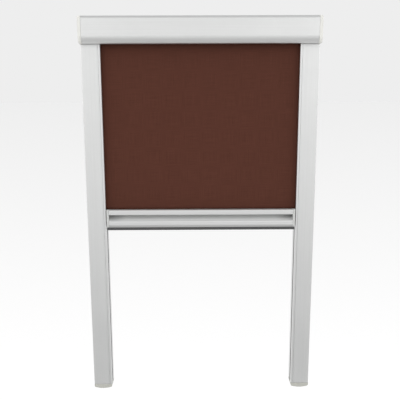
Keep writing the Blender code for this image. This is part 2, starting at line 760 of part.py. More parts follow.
def make_roller_tube(surface, axis):
    """The tube, with a groove along it for the strip that keys the cloth."""
    groove = math.degrees(math.asin(KEY_WIDTH / 2 / TUBE_RADIUS))
    bore = TUBE_RADIUS - TUBE_WALL
    ridge_half = KEY_WIDTH / 2 + TUBE_WALL
    ridge = math.degrees(math.asin(ridge_half / bore))
    outer = arc((0, 0), TUBE_RADIUS, groove, 360 - groove, ROUND_STEPS)
    outer += [(KEY_FLOOR, -KEY_WIDTH / 2), (KEY_FLOOR, KEY_WIDTH / 2)]
    inner = arc((0, 0), bore, ridge, 360 - ridge, ROUND_STEPS)
    inner += [(KEY_FLOOR - TUBE_WALL, -ridge_half), (KEY_FLOOR - TUBE_WALL, ridge_half)]
    half = WIDTH / 2 - TUBE_INSET
    extruded("roller_tube", [outer, inner], -half, half, across, surface, axis)


def make_key_strip(surface, axis):
    section = rectangle(
        KEY_FLOOR + GAP, TUBE_RADIUS - GAP / 2, -KEY_WIDTH / 2 + GAP, KEY_WIDTH / 2 - GAP
    )
    extruded("cloth_key_strip", [section], -CLOTH_WIDTH / 2, CLOTH_WIDTH / 2, across, surface, axis)


def make_roll(surface, axis):
    """The cloth wound on the tube at rest."""
    loops = [circle((0, 0), ROLL_RADIUS, ROLL_STEPS), circle((0, 0), ROLL_CORE, ROUND_STEPS)]
    extruded("cloth_roll", loops, -CLOTH_WIDTH / 2, CLOTH_WIDTH / 2, across, surface, axis)


def make_plug(name, side, surface, axis):
    """A flanged plug in one end of the tube, bored for its bush."""
    profile = [
        (0, PLUG_BORE),
        (0, TUBE_RADIUS),
        (PLUG_FLANGE, TUBE_RADIUS),
        (PLUG_FLANGE, SPIGOT_RADIUS),
        (PLUG_FLANGE + PLUG_LENGTH, SPIGOT_RADIUS),
        (PLUG_FLANGE + PLUG_LENGTH, PLUG_BORE),
    ]
    x = SIDES[side] * (WIDTH / 2 - FLANGE_INSET)
    turn = (0, 0, math.pi) if side == "right" else (0, 0, 0)
    plug = turned(name, profile, surface, ROUND_STEPS, axis, (x, 0, 0), turn)
    ridge_half = KEY_WIDTH / 2 + TUBE_WALL + GAP
    groove = box(
        f"groove_in_{name}",
        (x - SIDES[side] * PLUG_FLANGE, x - SIDES[side] * (PLUG_FLANGE + PLUG_LENGTH + THROUGH)),
        (-(KEY_FLOOR - TUBE_WALL - GAP), -TUBE_RADIUS),
        (-ridge_half, ridge_half),
        surface,
        axis,
    )
    combine(plug, groove, "DIFFERENCE")


def make_bush(name, side, surface, axis):
    length = PLUG_FLANGE + PLUG_LENGTH
    profile = [(0, BUSH_BORE), (0, BUSH_RADIUS), (length, BUSH_RADIUS), (length, BUSH_BORE)]
    x = SIDES[side] * (WIDTH / 2 - FLANGE_INSET)
    turn = (0, 0, math.pi) if side == "right" else (0, 0, 0)
    turned(name, profile, surface, PIN_STEPS, axis, (x, 0, 0), turn)


def headed_pin(name, side, length, surface):
    """A fixed pin whose head sits in the end cap's pocket and whose shank carries the roller."""
    profile = [
        (0, 0),
        (0, PIN_HEAD_RADIUS),
        (PIN_HEAD, PIN_HEAD_RADIUS),
        (PIN_HEAD, PIN_RADIUS),
        (length, PIN_RADIUS),
        (length, 0),
    ]
    sign = SIDES[side]
    x = sign * (WIDTH / 2 - BRACKET_INSET + GAP + PIN_HEAD)
    turn = (0, 0, math.pi) if side == "right" else (0, 0, 0)
    turned(name, profile, surface, PIN_STEPS, None, (x, -AXIS_DEPTH, 0), turn)


def make_pins(surface):
    bearing = BRACKET_THICKNESS + SIDE_PLAY + PLUG_FLANGE + PLUG_LENGTH
    head = PIN_HEAD + GAP
    headed_pin("idler_pin", "left", head + bearing, surface)
    spring_room = SPRING_LENGTH + COLLAR_WIDTH + 4 * GAP
    headed_pin("spring_shaft", "right", head + bearing + spring_room, surface)


def spring_start():
    """X of the spring's end beside the drive plug."""
    return WIDTH / 2 - FLANGE_INSET - PLUG_FLANGE - PLUG_LENGTH - GAP


def make_collar(surface):
    """The collar that fixes the spring's inner end to the shaft."""
    radius = SPRING_RADIUS + SPRING_WIRE_RADIUS + GAP
    bore = PIN_RADIUS + GAP
    profile = [(0, bore), (0, radius), (COLLAR_WIDTH, radius), (COLLAR_WIDTH, bore)]
    x = spring_start() - SPRING_LENGTH - GAP - COLLAR_WIDTH
    turned("spring_collar", profile, surface, PIN_STEPS, None, (x, -AXIS_DEPTH, 0))


def spring_route():
    """Points of the torsion spring: a straight end, a bend, the turns, a bend, a straight end."""
    lead = 2 * SPRING_WIRE_RADIUS
    bend = arc((lead, SPRING_BEND), SPRING_BEND, -90, 0, 3)
    wound = math.tau * SPRING_RADIUS * SPRING_TURNS
    first = bend[-1]
    last = (SPRING_LENGTH - first[0], wound - first[1])
    count = SPRING_TURNS * SPRING_STEPS
    turns = []
    for step in range(1, count):
        share = step / count
        turns.append((first[0] + (last[0] - first[0]) * share, first[1] + (last[1] - first[1]) * share))
    exit_bend = [(SPRING_LENGTH - x, wound - along) for x, along in reversed(bend)]
    flat = [(0, 0)] + bend + turns + exit_bend + [(SPRING_LENGTH, wound)]
    route = []
    for x, along in flat:
        angle = along / SPRING_RADIUS
        y = SPRING_RADIUS * math.cos(angle) - AXIS_DEPTH
        z = SPRING_RADIUS * math.sin(angle)
        route.append((spring_start() - x, y, z))
    return route


def least_gap(route, radius, apart):
    """The least distance between stretches of a tube that are some points apart."""
    nearest = min(
        math.dist(route[i], route[j])
        for i in range(len(route))
        for j in range(i + apart, len(route))
    )
    return nearest - 2 * radius


def make_spring(surface):
    route = spring_route()
    curve = bpy.data.curves.new("torsion_spring", "CURVE")
    curve.dimensions = "3D"
    curve.bevel_depth = SPRING_WIRE_RADIUS
    curve.bevel_resolution = 1
    curve.use_fill_caps = True
    spline = curve.splines.new("POLY")
    spline.points.add(len(route) - 1)
    for point, place in zip(spline.points, route):
        point.co = (*place, 1)
    curve.materials.append(surface)
    made = bpy.data.objects.new("torsion_spring", curve)
    bpy.context.scene.collection.objects.link(made)
    gap = least_gap(route, SPRING_WIRE_RADIUS, SPRING_STEPS // 2)
    print(f"Least gap between the spring's turns: {gap * 1000:.2f} mm")


def top_corner():
    """The rounded corner between the bar's top and its front."""
    centre = (BAR_FRONT - BAR_TOP_RADIUS, BAR_RISE - BAR_TOP_RADIUS)
    return arc(centre, BAR_TOP_RADIUS, 90, 0)


def recess_slope():
    """How far the recess's back leans from upright, in degrees, to run on into the lower lip."""
    reach = (RECESS_BACK - LIP_CENTRE[0], RECESS_TOP - LIP_CENTRE[1])
    spread = math.acos(LOWER_LIP_RADIUS / math.hypot(*reach))
    return math.degrees(math.atan2(reach[1], reach[0]) - spread)


def bar_outline():
    """The grip bar's outer section without its slots, from the top's front edge round to the rear."""
    front = BAR_FRONT
    edge = BAR_EDGE
    slope = recess_slope()
    lean = math.radians(slope)
    corner_depth = RECESS_BACK + RECESS_CORNER * (1 + math.sin(lean)) / math.cos(lean)
    corner = (corner_depth, RECESS_TOP - RECESS_CORNER)
    face = (
        top_corner()
        + arc((front - edge, RECESS_TOP + edge), edge, 0, -90, 3)
        + arc(corner, RECESS_CORNER, 90, 180 + slope, RECESS_STEPS)
    )
    face += arc(LIP_CENTRE, LOWER_LIP_RADIUS, slope, 0)
    face += [(front, -BAR_HEIGHT + CHAMFER_HEIGHT), (front - CHAMFER_DEPTH, -BAR_HEIGHT)]
    rear = arc((BAR_REAR + edge, -BAR_HEIGHT + edge), edge, 270, 180, 3)
    rear += arc((BAR_REAR + edge, -edge), edge, 180, 90, 3)
    return face, rear


def rod_keyhole():
    """The slot in the bar's top, with the round room for the cloth's rod."""
    half = ROD_SLOT / 2
    opening = math.degrees(math.asin(half / ROD_ROOM))
    room = arc((CLOTH_DEPTH, ROD_HEIGHT), ROD_ROOM, 90 + opening, 450 - opening, HOLE_STEPS)
    return [(CLOTH_DEPTH - half, 0)] + room + [(CLOTH_DEPTH + half, 0)]


def seal_groove():
    """The T-shaped groove under the bar, from its front edge to its rear edge."""
    neck = SEAL_NECK / 2 + GAP
    head = SEAL_HEAD_WIDTH / 2 + GAP
    ledge = -BAR_HEIGHT + SEAL_NECK_HEIGHT
    roof = ledge + SEAL_HEAD_HEIGHT + 2 * GAP
    return [
        (SEAL_DEPTH + neck, -BAR_HEIGHT),
        (SEAL_DEPTH + neck, ledge),
        (SEAL_DEPTH + head, ledge),
        (SEAL_DEPTH + head, roof),
        (SEAL_DEPTH - head, roof),
        (SEAL_DEPTH - head, ledge),
        (SEAL_DEPTH - neck, ledge),
        (SEAL_DEPTH - neck, -BAR_HEIGHT),
    ]


def bar_chambers():
    """The hollows along the bar: behind the recess, in the upper lip and under the recess."""
    rear = rectangle(
        BAR_REAR + BAR_WALL,
        RECESS_BACK - BAR_WALL,
        -BAR_HEIGHT + BAR_WALL,
        REAR_CHAMBER_TOP,
    )
    slot_edge = CLOTH_DEPTH + ROD_SLOT / 2
    slope = BAR_RISE / (BAR_FRONT - BAR_TOP_RADIUS - slot_edge)
    lip_rear = CLOTH_DEPTH + ROD_ROOM + BAR_WALL
    lip_front = BAR_FRONT - BAR_WALL
    upper = [
        (lip_rear, RECESS_TOP + BAR_WALL),
        (lip_front, RECESS_TOP + BAR_WALL),
        (lip_front, slope * (lip_front - slot_edge) - BAR_WALL),
        (lip_rear, slope * (lip_rear - slot_edge) - BAR_WALL),
    ]
    slope = recess_slope()
    port_front = LOWER_PORT[0] + SCREW_HOLE + BAR_WALL
    port_top = LOWER_PORT[1] + SCREW_HOLE + BAR_WALL
    lower = [(port_front, -BAR_HEIGHT + CHAMFER_HEIGHT), (lip_front, -BAR_HEIGHT + CHAMFER_HEIGHT)]
    lower += arc(LIP_CENTRE, LOWER_LIP_RADIUS - BAR_WALL, 0, slope)
    slope_end = lower[-1]
    rise = (slope_end[0] - RECESS_BACK) / math.tan(math.radians(slope))
    lower += [(RECESS_BACK, slope_end[1] + rise), (RECESS_BACK, port_top), (port_front, port_top)]
    return [rear, upper, lower]


def bar_ports():
    return [circle(port, SCREW_HOLE, HOLE_STEPS) for port in (UPPER_PORT, LOWER_PORT)]


def make_bar(surface, parent):
    face, rear = bar_outline()
    outline = face + seal_groove() + rear + rod_keyhole()
    half = WIDTH / 2 - BAR_INSET
    loops = [outline] + bar_chambers() + bar_ports()
    extruded("grip_bar", loops, -half, half, across, surface, parent)


def make_bar_cap(side, surface, parent):
    """The bar's end: it closes the recess, plugs the rear chamber and holds the shoe's tongue."""
    sign = SIDES[side]
    outer = sign * (WIDTH / 2 - BAR_CAP_INSET)
    inner = outer - sign * BAR_CAP_WIDTH
    _, rear = bar_outline()
    section = top_corner()
    section += [(BAR_FRONT, -BAR_HEIGHT + CHAMFER_HEIGHT), (BAR_FRONT - CHAMFER_DEPTH, -BAR_HEIGHT)]
    rear.append((CLOTH_DEPTH + ROD_SLOT / 2, 0))
    cap = extruded(f"{side}_bar_cap", [section + rear], outer, inner, across, surface, parent)
    chamber = bar_chambers()[0]
    low = min(height for _, height in chamber) + GAP
    high = max(height for _, height in chamber) - GAP
    depths = (BAR_REAR + BAR_WALL + GAP, RECESS_BACK - BAR_WALL - GAP)
    lug_end = sign * (WIDTH / 2 - BAR_INSET - BAR_CAP_LUG)
    lug = box(
        f"lug_of_{side}_bar_cap",
        (inner + sign * THROUGH, lug_end),
        [-depth for depth in depths],
        (low, high),
        surface,
        parent,
    )
    combine(cap, lug, "UNION")
    head_room = SCREW_HEAD_HEIGHT + 2 * GAP
    for depth, height in (UPPER_PORT, LOWER_PORT):
        drill(cap, (outer, -depth, height), SCREW_HEAD_RADIUS + GAP, 2 * head_room)
        middle = outer - sign * BAR_CAP_WIDTH / 2
        drill(cap, (middle, -depth, height), SCREW_HOLE, BAR_CAP_WIDTH + 2 * THROUGH)
    tongue_mid = -SHOE_DROP - SHOE_HEIGHT / 2
    pocket = box(
        f"pocket_in_{side}_bar_cap",
        (outer + sign * THROUGH, outer - sign * (TONGUE_IN_CAP + GAP)),
        (-CLOTH_DEPTH - TONGUE_THICKNESS / 2 - GAP, -CLOTH_DEPTH + TONGUE_THICKNESS / 2 + GAP),
        (tongue_mid - TONGUE_HEIGHT / 2 - GAP, tongue_mid + TONGUE_HEIGHT / 2 + GAP),
        surface,
        parent,
    )
    combine(cap, pocket, "DIFFERENCE")


def make_bar_screws(side, surface, parent):
    sign = SIDES[side]
    x = sign * (WIDTH / 2 - BAR_CAP_INSET - SCREW_HEAD_HEIGHT - GAP)
    inward = outward("left" if side == "right" else "right")
    for name, (depth, height) in (("upper", UPPER_PORT), ("lower", LOWER_PORT)):
        screw(f"{side}_{name}_bar_screw", (x, -depth, height), inward, surface, parent)


def make_shoe(side, surface, parent):
    """The block that runs in the rail, its tongue through the slot and its bore for the cord."""
    heights = (-SHOE_DROP - SHOE_HEIGHT, -SHOE_DROP)
    middle = sum(heights) / 2
    shoe = rail_box(
        f"{side}_slide_shoe",
        side,
        (SHOE_INSET, SHOE_INSET + SHOE_WIDTH),
        (RAIL_WALL + RUNNING_GAP, WEB_BACK - RUNNING_GAP),
        heights,
        surface,
        parent,
    )
    tongue = rail_box(
        f"tongue_of_{side}_slide_shoe",
        side,
        (SHOE_INSET + SHOE_WIDTH - THROUGH, BAR_CAP_INSET + TONGUE_IN_CAP),
        (CLOTH_DEPTH - TONGUE_THICKNESS / 2, CLOTH_DEPTH + TONGUE_THICKNESS / 2),
        (middle - TONGUE_HEIGHT / 2, middle + TONGUE_HEIGHT / 2),
        surface,
        parent,
    )
    combine(shoe, tongue, "UNION")
    centre = (SIDES[side] * (WIDTH / 2 - CORD_INSET), -CHAMBER_DEPTH, middle)
    drill(shoe, centre, CORD_RADIUS + CORD_ROOM, SHOE_HEIGHT + 2 * THROUGH, "Z")


def make_rod(surface, parent):
    """The rod that the cloth's hem is wrapped on, held in the bar."""
    half = WIDTH / 2 - BAR_INSET
    section = circle((CLOTH_DEPTH, ROD_HEIGHT), ROD_RADIUS, HOLE_STEPS)
    extruded("cloth_rod", [section], -half, half, across, surface, parent)


def make_seal(surface, parent):
    """The soft strip under the bar: a head in the groove and a blade that also runs under the caps."""
    neck = SEAL_NECK / 2
    head = SEAL_HEAD_WIDTH / 2
    blade = SEAL_BLADE_WIDTH / 2
    head_low = -BAR_HEIGHT + SEAL_NECK_HEIGHT + GAP
    blade_top = -BAR_HEIGHT - GAP
    tip = (SEAL_DEPTH, -BAR_HEIGHT - SEAL_BLADE_HEIGHT + blade)
    half_head = [
        (SEAL_DEPTH + neck, blade_top - blade),
        (SEAL_DEPTH + neck, head_low),
        (SEAL_DEPTH + head, head_low),
        (SEAL_DEPTH + head, head_low + SEAL_HEAD_HEIGHT),
    ]
    mirrored = [(2 * SEAL_DEPTH - depth, height) for depth, height in reversed(half_head)]
    half = WIDTH / 2 - BAR_INSET
    name = "bottom_seal"
    seal = extruded(name, [half_head + mirrored], -half, half, across, surface, parent)
    lip = [(SEAL_DEPTH + blade, blade_top), (SEAL_DEPTH - blade, blade_top)]
    lip += arc(tip, blade, 180, 360)
    end = WIDTH / 2 - BAR_CAP_INSET
    under = extruded(f"blade_of_{name}", [lip], -end, end, across, surface, parent)
    combine(seal, under, "UNION")


def make_cloth(surface):
    """The cloth between the roll's tangent and the bar, with its edges in the rails."""
    half = CLOTH_THICKNESS / 2
    section = rectangle(CLOTH_DEPTH - half, CLOTH_DEPTH + half, BAR_TOP + GAP, 0)
    extruded("cloth", [section], -CLOTH_WIDTH / 2, CLOTH_WIDTH / 2, across, surface)


def clear_scene():
    for old in list(bpy.data.objects):
        bpy.data.objects.remove(old)


def main():
    clear_scene()
    silver = material("silver_aluminium", (0.72, 0.73, 0.73), 0.42, 1.0)
    end_plastic = material("light_grey_plastic", (0.62, 0.62, 0.60), 0.5, 0.0)
    pile = material("black_pile", (0.012, 0.012, 0.012), 0.95, 0.0)
    cloth_brown = material("brown_cloth", (0.098, 0.037, 0.026), 0.85, 0.0)
    steel = material("zinc_steel", (0.55, 0.56, 0.57), 0.35, 1.0)
    brass = material("brass", (0.70, 0.52, 0.24), 0.35, 1.0)
    rubber = material("black_rubber", (0.02, 0.02, 0.02), 0.7, 0.0)
    nylon = material("natural_nylon", (0.75, 0.74, 0.70), 0.55, 0.0)
    cord_white = material("white_cord", (0.80, 0.80, 0.78), 0.8, 0.0)

    make_cover(silver)
    make_back_plate(silver)
    for side in SIDES:
        make_end_cap(side, end_plastic)
        make_bracket(side, steel)
        make_bracket_screws(side, steel)
        make_rail(side, silver)
        make_rail_screws(side, steel)
        make_pile_seals(side, pile)
        make_foot(side, end_plastic)
        make_cord_anchor(side, brass)
        make_tension_cord(side, cord_white)

    axis = empty("roller_axis", (0, -AXIS_DEPTH, 0))
    make_pins(steel)
    make_collar(nylon)
    make_spring(steel)
    make_roller_tube(silver, axis)
    make_key_strip(nylon, axis)
    make_roll(cloth_brown, axis)
    make_plug("idler_plug", "left", nylon, axis)
    make_plug("drive_plug", "right", nylon, axis)
    make_bush("idler_bush", "left", brass, axis)
    make_bush("drive_bush", "right", brass, axis)

    bar = empty("bar_carriage", (0, 0, BAR_TOP))
    make_bar(silver, bar)
    make_rod(nylon, bar)
    make_seal(rubber, bar)
    make_cross_cords(cord_white, bar)
    for side in SIDES:
        make_bar_cap(side, end_plastic, bar)
        make_bar_screws(side, steel, bar)
        make_shoe(side, nylon, bar)
    make_cloth(cloth_brown)

    print(f"Bar travel: {TRAVEL_UP:.4f} m up and {TRAVEL_DOWN:.4f} m down")
    print(f"Roller axis: {AXIS_DEPTH:.5f} m deep; roll radius {ROLL_RADIUS:.5f} m")


main()
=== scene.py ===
"""The skylight blind with its finishes, on a plain pale floor in soft studio light."""
import json
import math
import random

import bmesh
import bpy
from mathutils import Matrix, Vector


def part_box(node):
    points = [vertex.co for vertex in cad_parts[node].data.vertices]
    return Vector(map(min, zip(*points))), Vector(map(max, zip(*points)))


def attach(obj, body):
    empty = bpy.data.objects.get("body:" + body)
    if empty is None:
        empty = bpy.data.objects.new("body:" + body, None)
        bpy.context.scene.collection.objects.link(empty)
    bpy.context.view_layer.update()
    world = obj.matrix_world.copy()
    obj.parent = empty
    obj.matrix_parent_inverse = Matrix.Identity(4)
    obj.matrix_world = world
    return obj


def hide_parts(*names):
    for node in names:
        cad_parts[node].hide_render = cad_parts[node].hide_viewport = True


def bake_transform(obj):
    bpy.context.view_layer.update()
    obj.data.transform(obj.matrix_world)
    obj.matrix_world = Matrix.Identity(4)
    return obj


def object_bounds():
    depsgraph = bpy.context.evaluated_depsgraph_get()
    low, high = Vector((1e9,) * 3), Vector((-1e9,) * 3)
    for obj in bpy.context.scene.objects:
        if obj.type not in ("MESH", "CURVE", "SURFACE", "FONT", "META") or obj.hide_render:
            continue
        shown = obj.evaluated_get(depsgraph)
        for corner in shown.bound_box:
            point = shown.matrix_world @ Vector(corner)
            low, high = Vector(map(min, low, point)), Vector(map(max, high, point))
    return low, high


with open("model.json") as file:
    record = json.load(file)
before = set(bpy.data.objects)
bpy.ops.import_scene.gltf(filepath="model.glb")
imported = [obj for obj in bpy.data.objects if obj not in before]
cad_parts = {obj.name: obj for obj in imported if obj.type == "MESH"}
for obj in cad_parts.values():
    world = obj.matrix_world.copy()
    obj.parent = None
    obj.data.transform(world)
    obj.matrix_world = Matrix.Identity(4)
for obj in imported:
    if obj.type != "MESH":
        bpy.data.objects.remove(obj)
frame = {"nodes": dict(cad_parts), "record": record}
NODES = frame["nodes"]
CAD_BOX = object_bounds()
SLOT_OF = {part["node"]: part["material_slot"] for part in frame["record"]["subparts"]}

# All lengths are in metres.

# Camera, placed to match the photograph
CAMERA_PLACE = Vector((-0.0094, -1.2055, -0.1236))
CAMERA_PITCH = math.radians(10.97)
CAMERA_ROLL = math.radians(-0.20)
CAMERA_YAW = math.radians(-0.37)
CAMERA_LENS = 50.05
SENSOR_WIDTH = 36.0
NEAREST, FARTHEST = 0.01, 100

# Light: azimuth and elevation of each soft box, its spread both ways, all in degrees, and its strength
SOFT_BOXES = (
    (-80, 10, 13, 12, 0.34),
    (-50, 10, 13, 12, 1.31),
    (-27, 10, 13, 12, 0.35),
    (27, 10, 13, 12, 0.53),
    (50, 10, 13, 12, 1.34),
    (80, 10, 13, 12, 0.33),
    (-50, 2, 22, 6, 0.70),
    (50, 2, 22, 6, 0.74),
    (-60, 38, 22, 14, 0.36),
    (60, 38, 22, 14, 0.21),
)
LIGHT_BELOW = 0.73  # the even light low down and from the sides
LIGHT_ABOVE = 0.64  # the even light from overhead
BACKDROP = 0.855
EASE = (0.35, 0.75)  # one light eases into the next between these parts of a direction

# Floor
FLOOR_HALF = 60
FLOOR_DROP = 0.40  # from the blind's feet down to the floor
FLOOR_COLOUR = 0.75
FLOOR_GLOW = 0.238  # what the camera sees beyond the floor's own light, behind the blind
FLOOR_SLOPE = 0.350  # more glow for each radian that the camera looks down
GLOW_STARTS, GLOW_FULL = -0.5, 0.45  # on Y
LEAST_AHEAD = 0.5  # the slope is taken no nearer to the camera than this
FRONT_GLOW = 0.20
FRONT_STARTS, FRONT_FULL = -1.8, -2.6

# The grip's painted shading, with a painted highlight at the recess's foot: places on the bar at rest,
# and shares of its brightness there
BAR_FRONT = -0.0380
RECESS_BACK = -0.0242
RECESS_TOP = -0.3825
RECESS_END = 0.195
END_FADE = 0.036
LOWER_EDGE = -0.4050
UNDER_LIP = 0.91
RECESS_FOOT = 1.22
END_SHADE = 0.79
LOWER_SHADE = 0.78

# The carried-over pieces
EDGE_ROUND = 0.00022
CORNER_ANGLE = math.radians(26)  # edges past this are corners and are rounded
SHARP_ANGLE = math.radians(50)  # edges past this stay sharp between the roundings
FINE_ANGLE = math.radians(0.5)  # facets within this lie in one plane
MERGE = 0.000002
UNROUNDED = ("torsion_spring",)

# The cloth
CLOTH_THICKNESS = 0.0004
CLOTH_CELL = 0.007
THREAD = 0.00046  # from one thread to the next
EDGE_RELAX = 0.00012  # how far the edges wander between the pile strips
EDGE_WAVES = (14, 3)  # radians of that wander down the cloth's length, and for each metre across
WOUND_CLOTH = 0.0003  # the thickness on the roll
WOUND_LENGTH = 0.447
DRAWN_LENGTH = 0.374  # the wound part's weave starts this far down
TURN_STEPS = 56  # facets in one turn of the roll
TUBE_GAP = 0.0003  # from the tube to the first turn, as in the solids
TURN_GAP = 0.00004  # a little more room inside the first turn

# The pile strips
PILE_BASE = 0.0008
PILE_BASE_WIDTH = 0.0050
PILE_WIDTH = 0.0028
PILE_MARGIN = 0.0006
PILE_CELL = 0.050  # one length of pile
PILE_ROWS = 5
PILE_STEPS = 40  # tufts in each row of one length
TUFT_RADIUS = 0.00036
TUFT_TAPER = 0.55
TUFT_ROOT = 0.00005  # how deep each tuft sits in the base
LEAN_ASIDE = 0.14
LEAN_ALONG = 0.22
SHORTEST_TUFT = 0.86

# The cords
CORD_LAY = 0.0075  # one full turn of a cord's strands
LAY_STEPS = 12
CORD_SIDES = 15
STRAND_ANGLE = math.radians(60)

# The screws
HEAD_RADIUS, HEAD_HEIGHT = 0.0020, 0.0018
CROWN = (  # the top of the head, from its middle outwards
    (0, 0),
    (0.0011, 0),
    (0.0016, -0.00022),
    (HEAD_RADIUS - 0.00012, -0.0007),
    (HEAD_RADIUS, -0.0011),
)
CORE_RADIUS, CREST_RADIUS = 0.00090, 0.00118
PITCH = 0.0008
PLAIN_SHANK = 0.0010  # from the head to the first thread, and the length of the tapered point
SCREW_LENGTH = 0.0098
POINT_RADIUS = 0.0003
POINT_ROOM = 0.0012  # no turn of the thread ends nearer to the point than this
SCREW_SIDES = 28
SCREW_MERGE = 0.000001
CROSS_BLADE = (0.0021, 0.00042, 0.0022)
CROSS_TAPER = 0.35

CURVE_ANGLE = math.radians(32)  # modelled edges past this are shaded sharp
QUARTER = math.pi / 2


# Shader helpers
def link(tree, source, target):
    tree.links.new(source, target)


def feed(tree, socket, value):
    """Link a socket to another, or set it to a number."""
    if isinstance(value, bpy.types.NodeSocket):
        tree.links.new(value, socket)
    else:
        socket.default_value = value


def maths(tree, operation, *terms):
    """The result of a math node on numbers or sockets."""
    node = tree.nodes.new("ShaderNodeMath")
    node.operation = operation
    for socket, term in zip(node.inputs, terms):
        feed(tree, socket, term)
    return node.outputs[0]


def remap(tree, value, low, high, to_low=0.0, to_high=1.0):
    """A value moved from one range to another, with soft ends."""
    node = tree.nodes.new("ShaderNodeMapRange")
    node.interpolation_type = "SMOOTHSTEP"
    for name, term in (
        ("Value", value),
        ("From Min", low),
        ("From Max", high),
        ("To Min", to_low),
        ("To Max", to_high),
    ):
        feed(tree, node.inputs[name], term)
    return node.outputs["Result"]


def noise(tree, vector, scale, detail=2.0, rough=0.5):
    node = tree.nodes.new("ShaderNodeTexNoise")
    feed(tree, node.inputs["Vector"], vector)
    feed(tree, node.inputs["Scale"], scale)
    node.inputs["Detail"].default_value = detail
    node.inputs["Roughness"].default_value = rough
    return node.outputs["Fac"]


def stretch(tree, vector, scale, turn=(0, 0, 0)):
    """A vector turned and scaled by a Mapping node."""
    node = tree.nodes.new("ShaderNodeMapping")
    link(tree, vector, node.inputs["Vector"])
    node.inputs["Rotation"].default_value = turn
    node.inputs["Scale"].default_value = scale
    return node.outputs["Vector"]


def new_group(name, inputs, outputs):
    """A shader node group with named sockets, and its own input and output nodes."""
    tree = bpy.data.node_groups.new(name, "ShaderNodeTree")
    kinds = {"vector": "NodeSocketVector", "value": "NodeSocketFloat"}
    for title, kind in inputs:
        tree.interface.new_socket(title, in_out="INPUT", socket_type=kinds[kind])
    for title, kind in outputs:
        tree.interface.new_socket(title, in_out="OUTPUT", socket_type=kinds[kind])
    return tree, tree.nodes.new("NodeGroupInput").outputs, tree.nodes.new("NodeGroupOutput").inputs


# Effects that the finishes share
def extrusion_lines_group():
    """Fine drawn lines along X: a few wide die lines and many fine ones."""
    tree, given, made = new_group(
        "extrusion_lines", (("Vector", "vector"),), (("Height", "value"), ("Shade", "value"))
    )
    fine = noise(tree, stretch(tree, given["Vector"], (6, 2600, 2600)), 1.0, 2.0, 0.6)
    wide = noise(tree, stretch(tree, given["Vector"], (3, 420, 420)), 1.0, 1.0, 0.5)
    height = maths(tree, "MULTIPLY_ADD", wide, 0.6, fine)
    link(tree, height, made["Height"])
    link(tree, remap(tree, height, 0.55, 1.05), made["Shade"])
    return tree


def mottle_group():
    """Broad, soft cloudiness from handling and dust, from 0 to 1."""
    tree, given, made = new_group(
        "soft_mottle", (("Vector", "vector"), ("Scale", "value")), (("Mask", "value"),)
    )
    broad = noise(tree, given["Vector"], given["Scale"], 4.0, 0.55)
    link(tree, remap(tree, broad, 0.34, 0.68), made["Mask"])
    return tree


def worn_edges_group():
    """A mask of the outer edges that hands and fittings rub, broken up along its length."""
    tree, given, made = new_group(
        "worn_edges", (("Vector", "vector"), ("Width", "value")), (("Mask", "value"),)
    )
    rounded = tree.nodes.new("ShaderNodeBevel")
    rounded.samples = 4
    link(tree, given["Width"], rounded.inputs["Radius"])
    plain = tree.nodes.new("ShaderNodeNewGeometry")
    turn = tree.nodes.new("ShaderNodeVectorMath")
    turn.operation = "DOT_PRODUCT"
    link(tree, rounded.outputs["Normal"], turn.inputs[0])
    link(tree, plain.outputs["Normal"], turn.inputs[1])
    edge = remap(tree, turn.outputs["Value"], 0.995, 0.80)
    broken = remap(tree, noise(tree, given["Vector"], 90.0, 5.0, 0.65), 0.42, 0.62)
    link(tree, maths(tree, "MULTIPLY", edge, broken), made["Mask"])
    return tree


def grip_shading_group():
    """Shading painted into the grip's finish, because the studio light doesn't give what the
    photograph shows: dull under the lip, at the recess's ends and along the lower edge, and
    bright at the recess's foot. It is a share of the finish's own brightness, tuned against the
    photograph, and it stays as it is in any other light."""
    tree, given, made = new_group("grip_shading", (("Vector", "vector"),), (("Share", "value"),))
    split = tree.nodes.new("ShaderNodeSeparateXYZ")
    link(tree, given["Vector"], split.inputs[0])
    x, y, z = split.outputs
    # the share fades in just past the recess's edges, so that no line shows
    inside = remap(tree, y, BAR_FRONT + 0.0005, BAR_FRONT + 0.0030)
    for way, outer, inner in (
        (y, RECESS_BACK + 0.0008, RECESS_BACK + 0.0004),
        (z, RECESS_TOP + 0.0012, RECESS_TOP + 0.0002),
        (z, RECESS_TOP - 0.0175, RECESS_TOP - 0.0160),
    ):
        inside = maths(tree, "MULTIPLY", inside, remap(tree, way, outer, inner))
    fall = remap(tree, z, RECESS_TOP - 0.0045, RECESS_TOP - 0.0120, UNDER_LIP, RECESS_FOOT)
    aside = maths(tree, "ABSOLUTE", x)
    ends = remap(tree, aside, RECESS_END - END_FADE, RECESS_END, 1.0, END_SHADE)
    change = maths(tree, "MULTIPLY_ADD", fall, ends, -1.0)
    within = maths(tree, "MULTIPLY", inside, change)
    lower = remap(tree, z, LOWER_EDGE + 0.0022, LOWER_EDGE - 0.0008, 0.0, LOWER_SHADE - 1.0)
    link(tree, maths(tree, "ADD", maths(tree, "ADD", within, lower), 1.0), made["Share"])
    return tree


def moulded_grain_group():
    """The fine spark-eroded texture of a moulded surface."""
    tree, given, made = new_group(
        "moulded_grain", (("Vector", "vector"), ("Scale", "value")), (("Height", "value"),)
    )
    fine = noise(tree, given["Vector"], given["Scale"], 3.0, 0.6)
    cells = tree.nodes.new("ShaderNodeTexVoronoi")
    cells.feature = "SMOOTH_F1"
    link(tree, given["Vector"], cells.inputs["Vector"])
    link(tree, given["Scale"], cells.inputs["Scale"])
    link(tree, maths(tree, "MULTIPLY_ADD", cells.outputs["Distance"], 0.5, fine), made["Height"])
    return tree


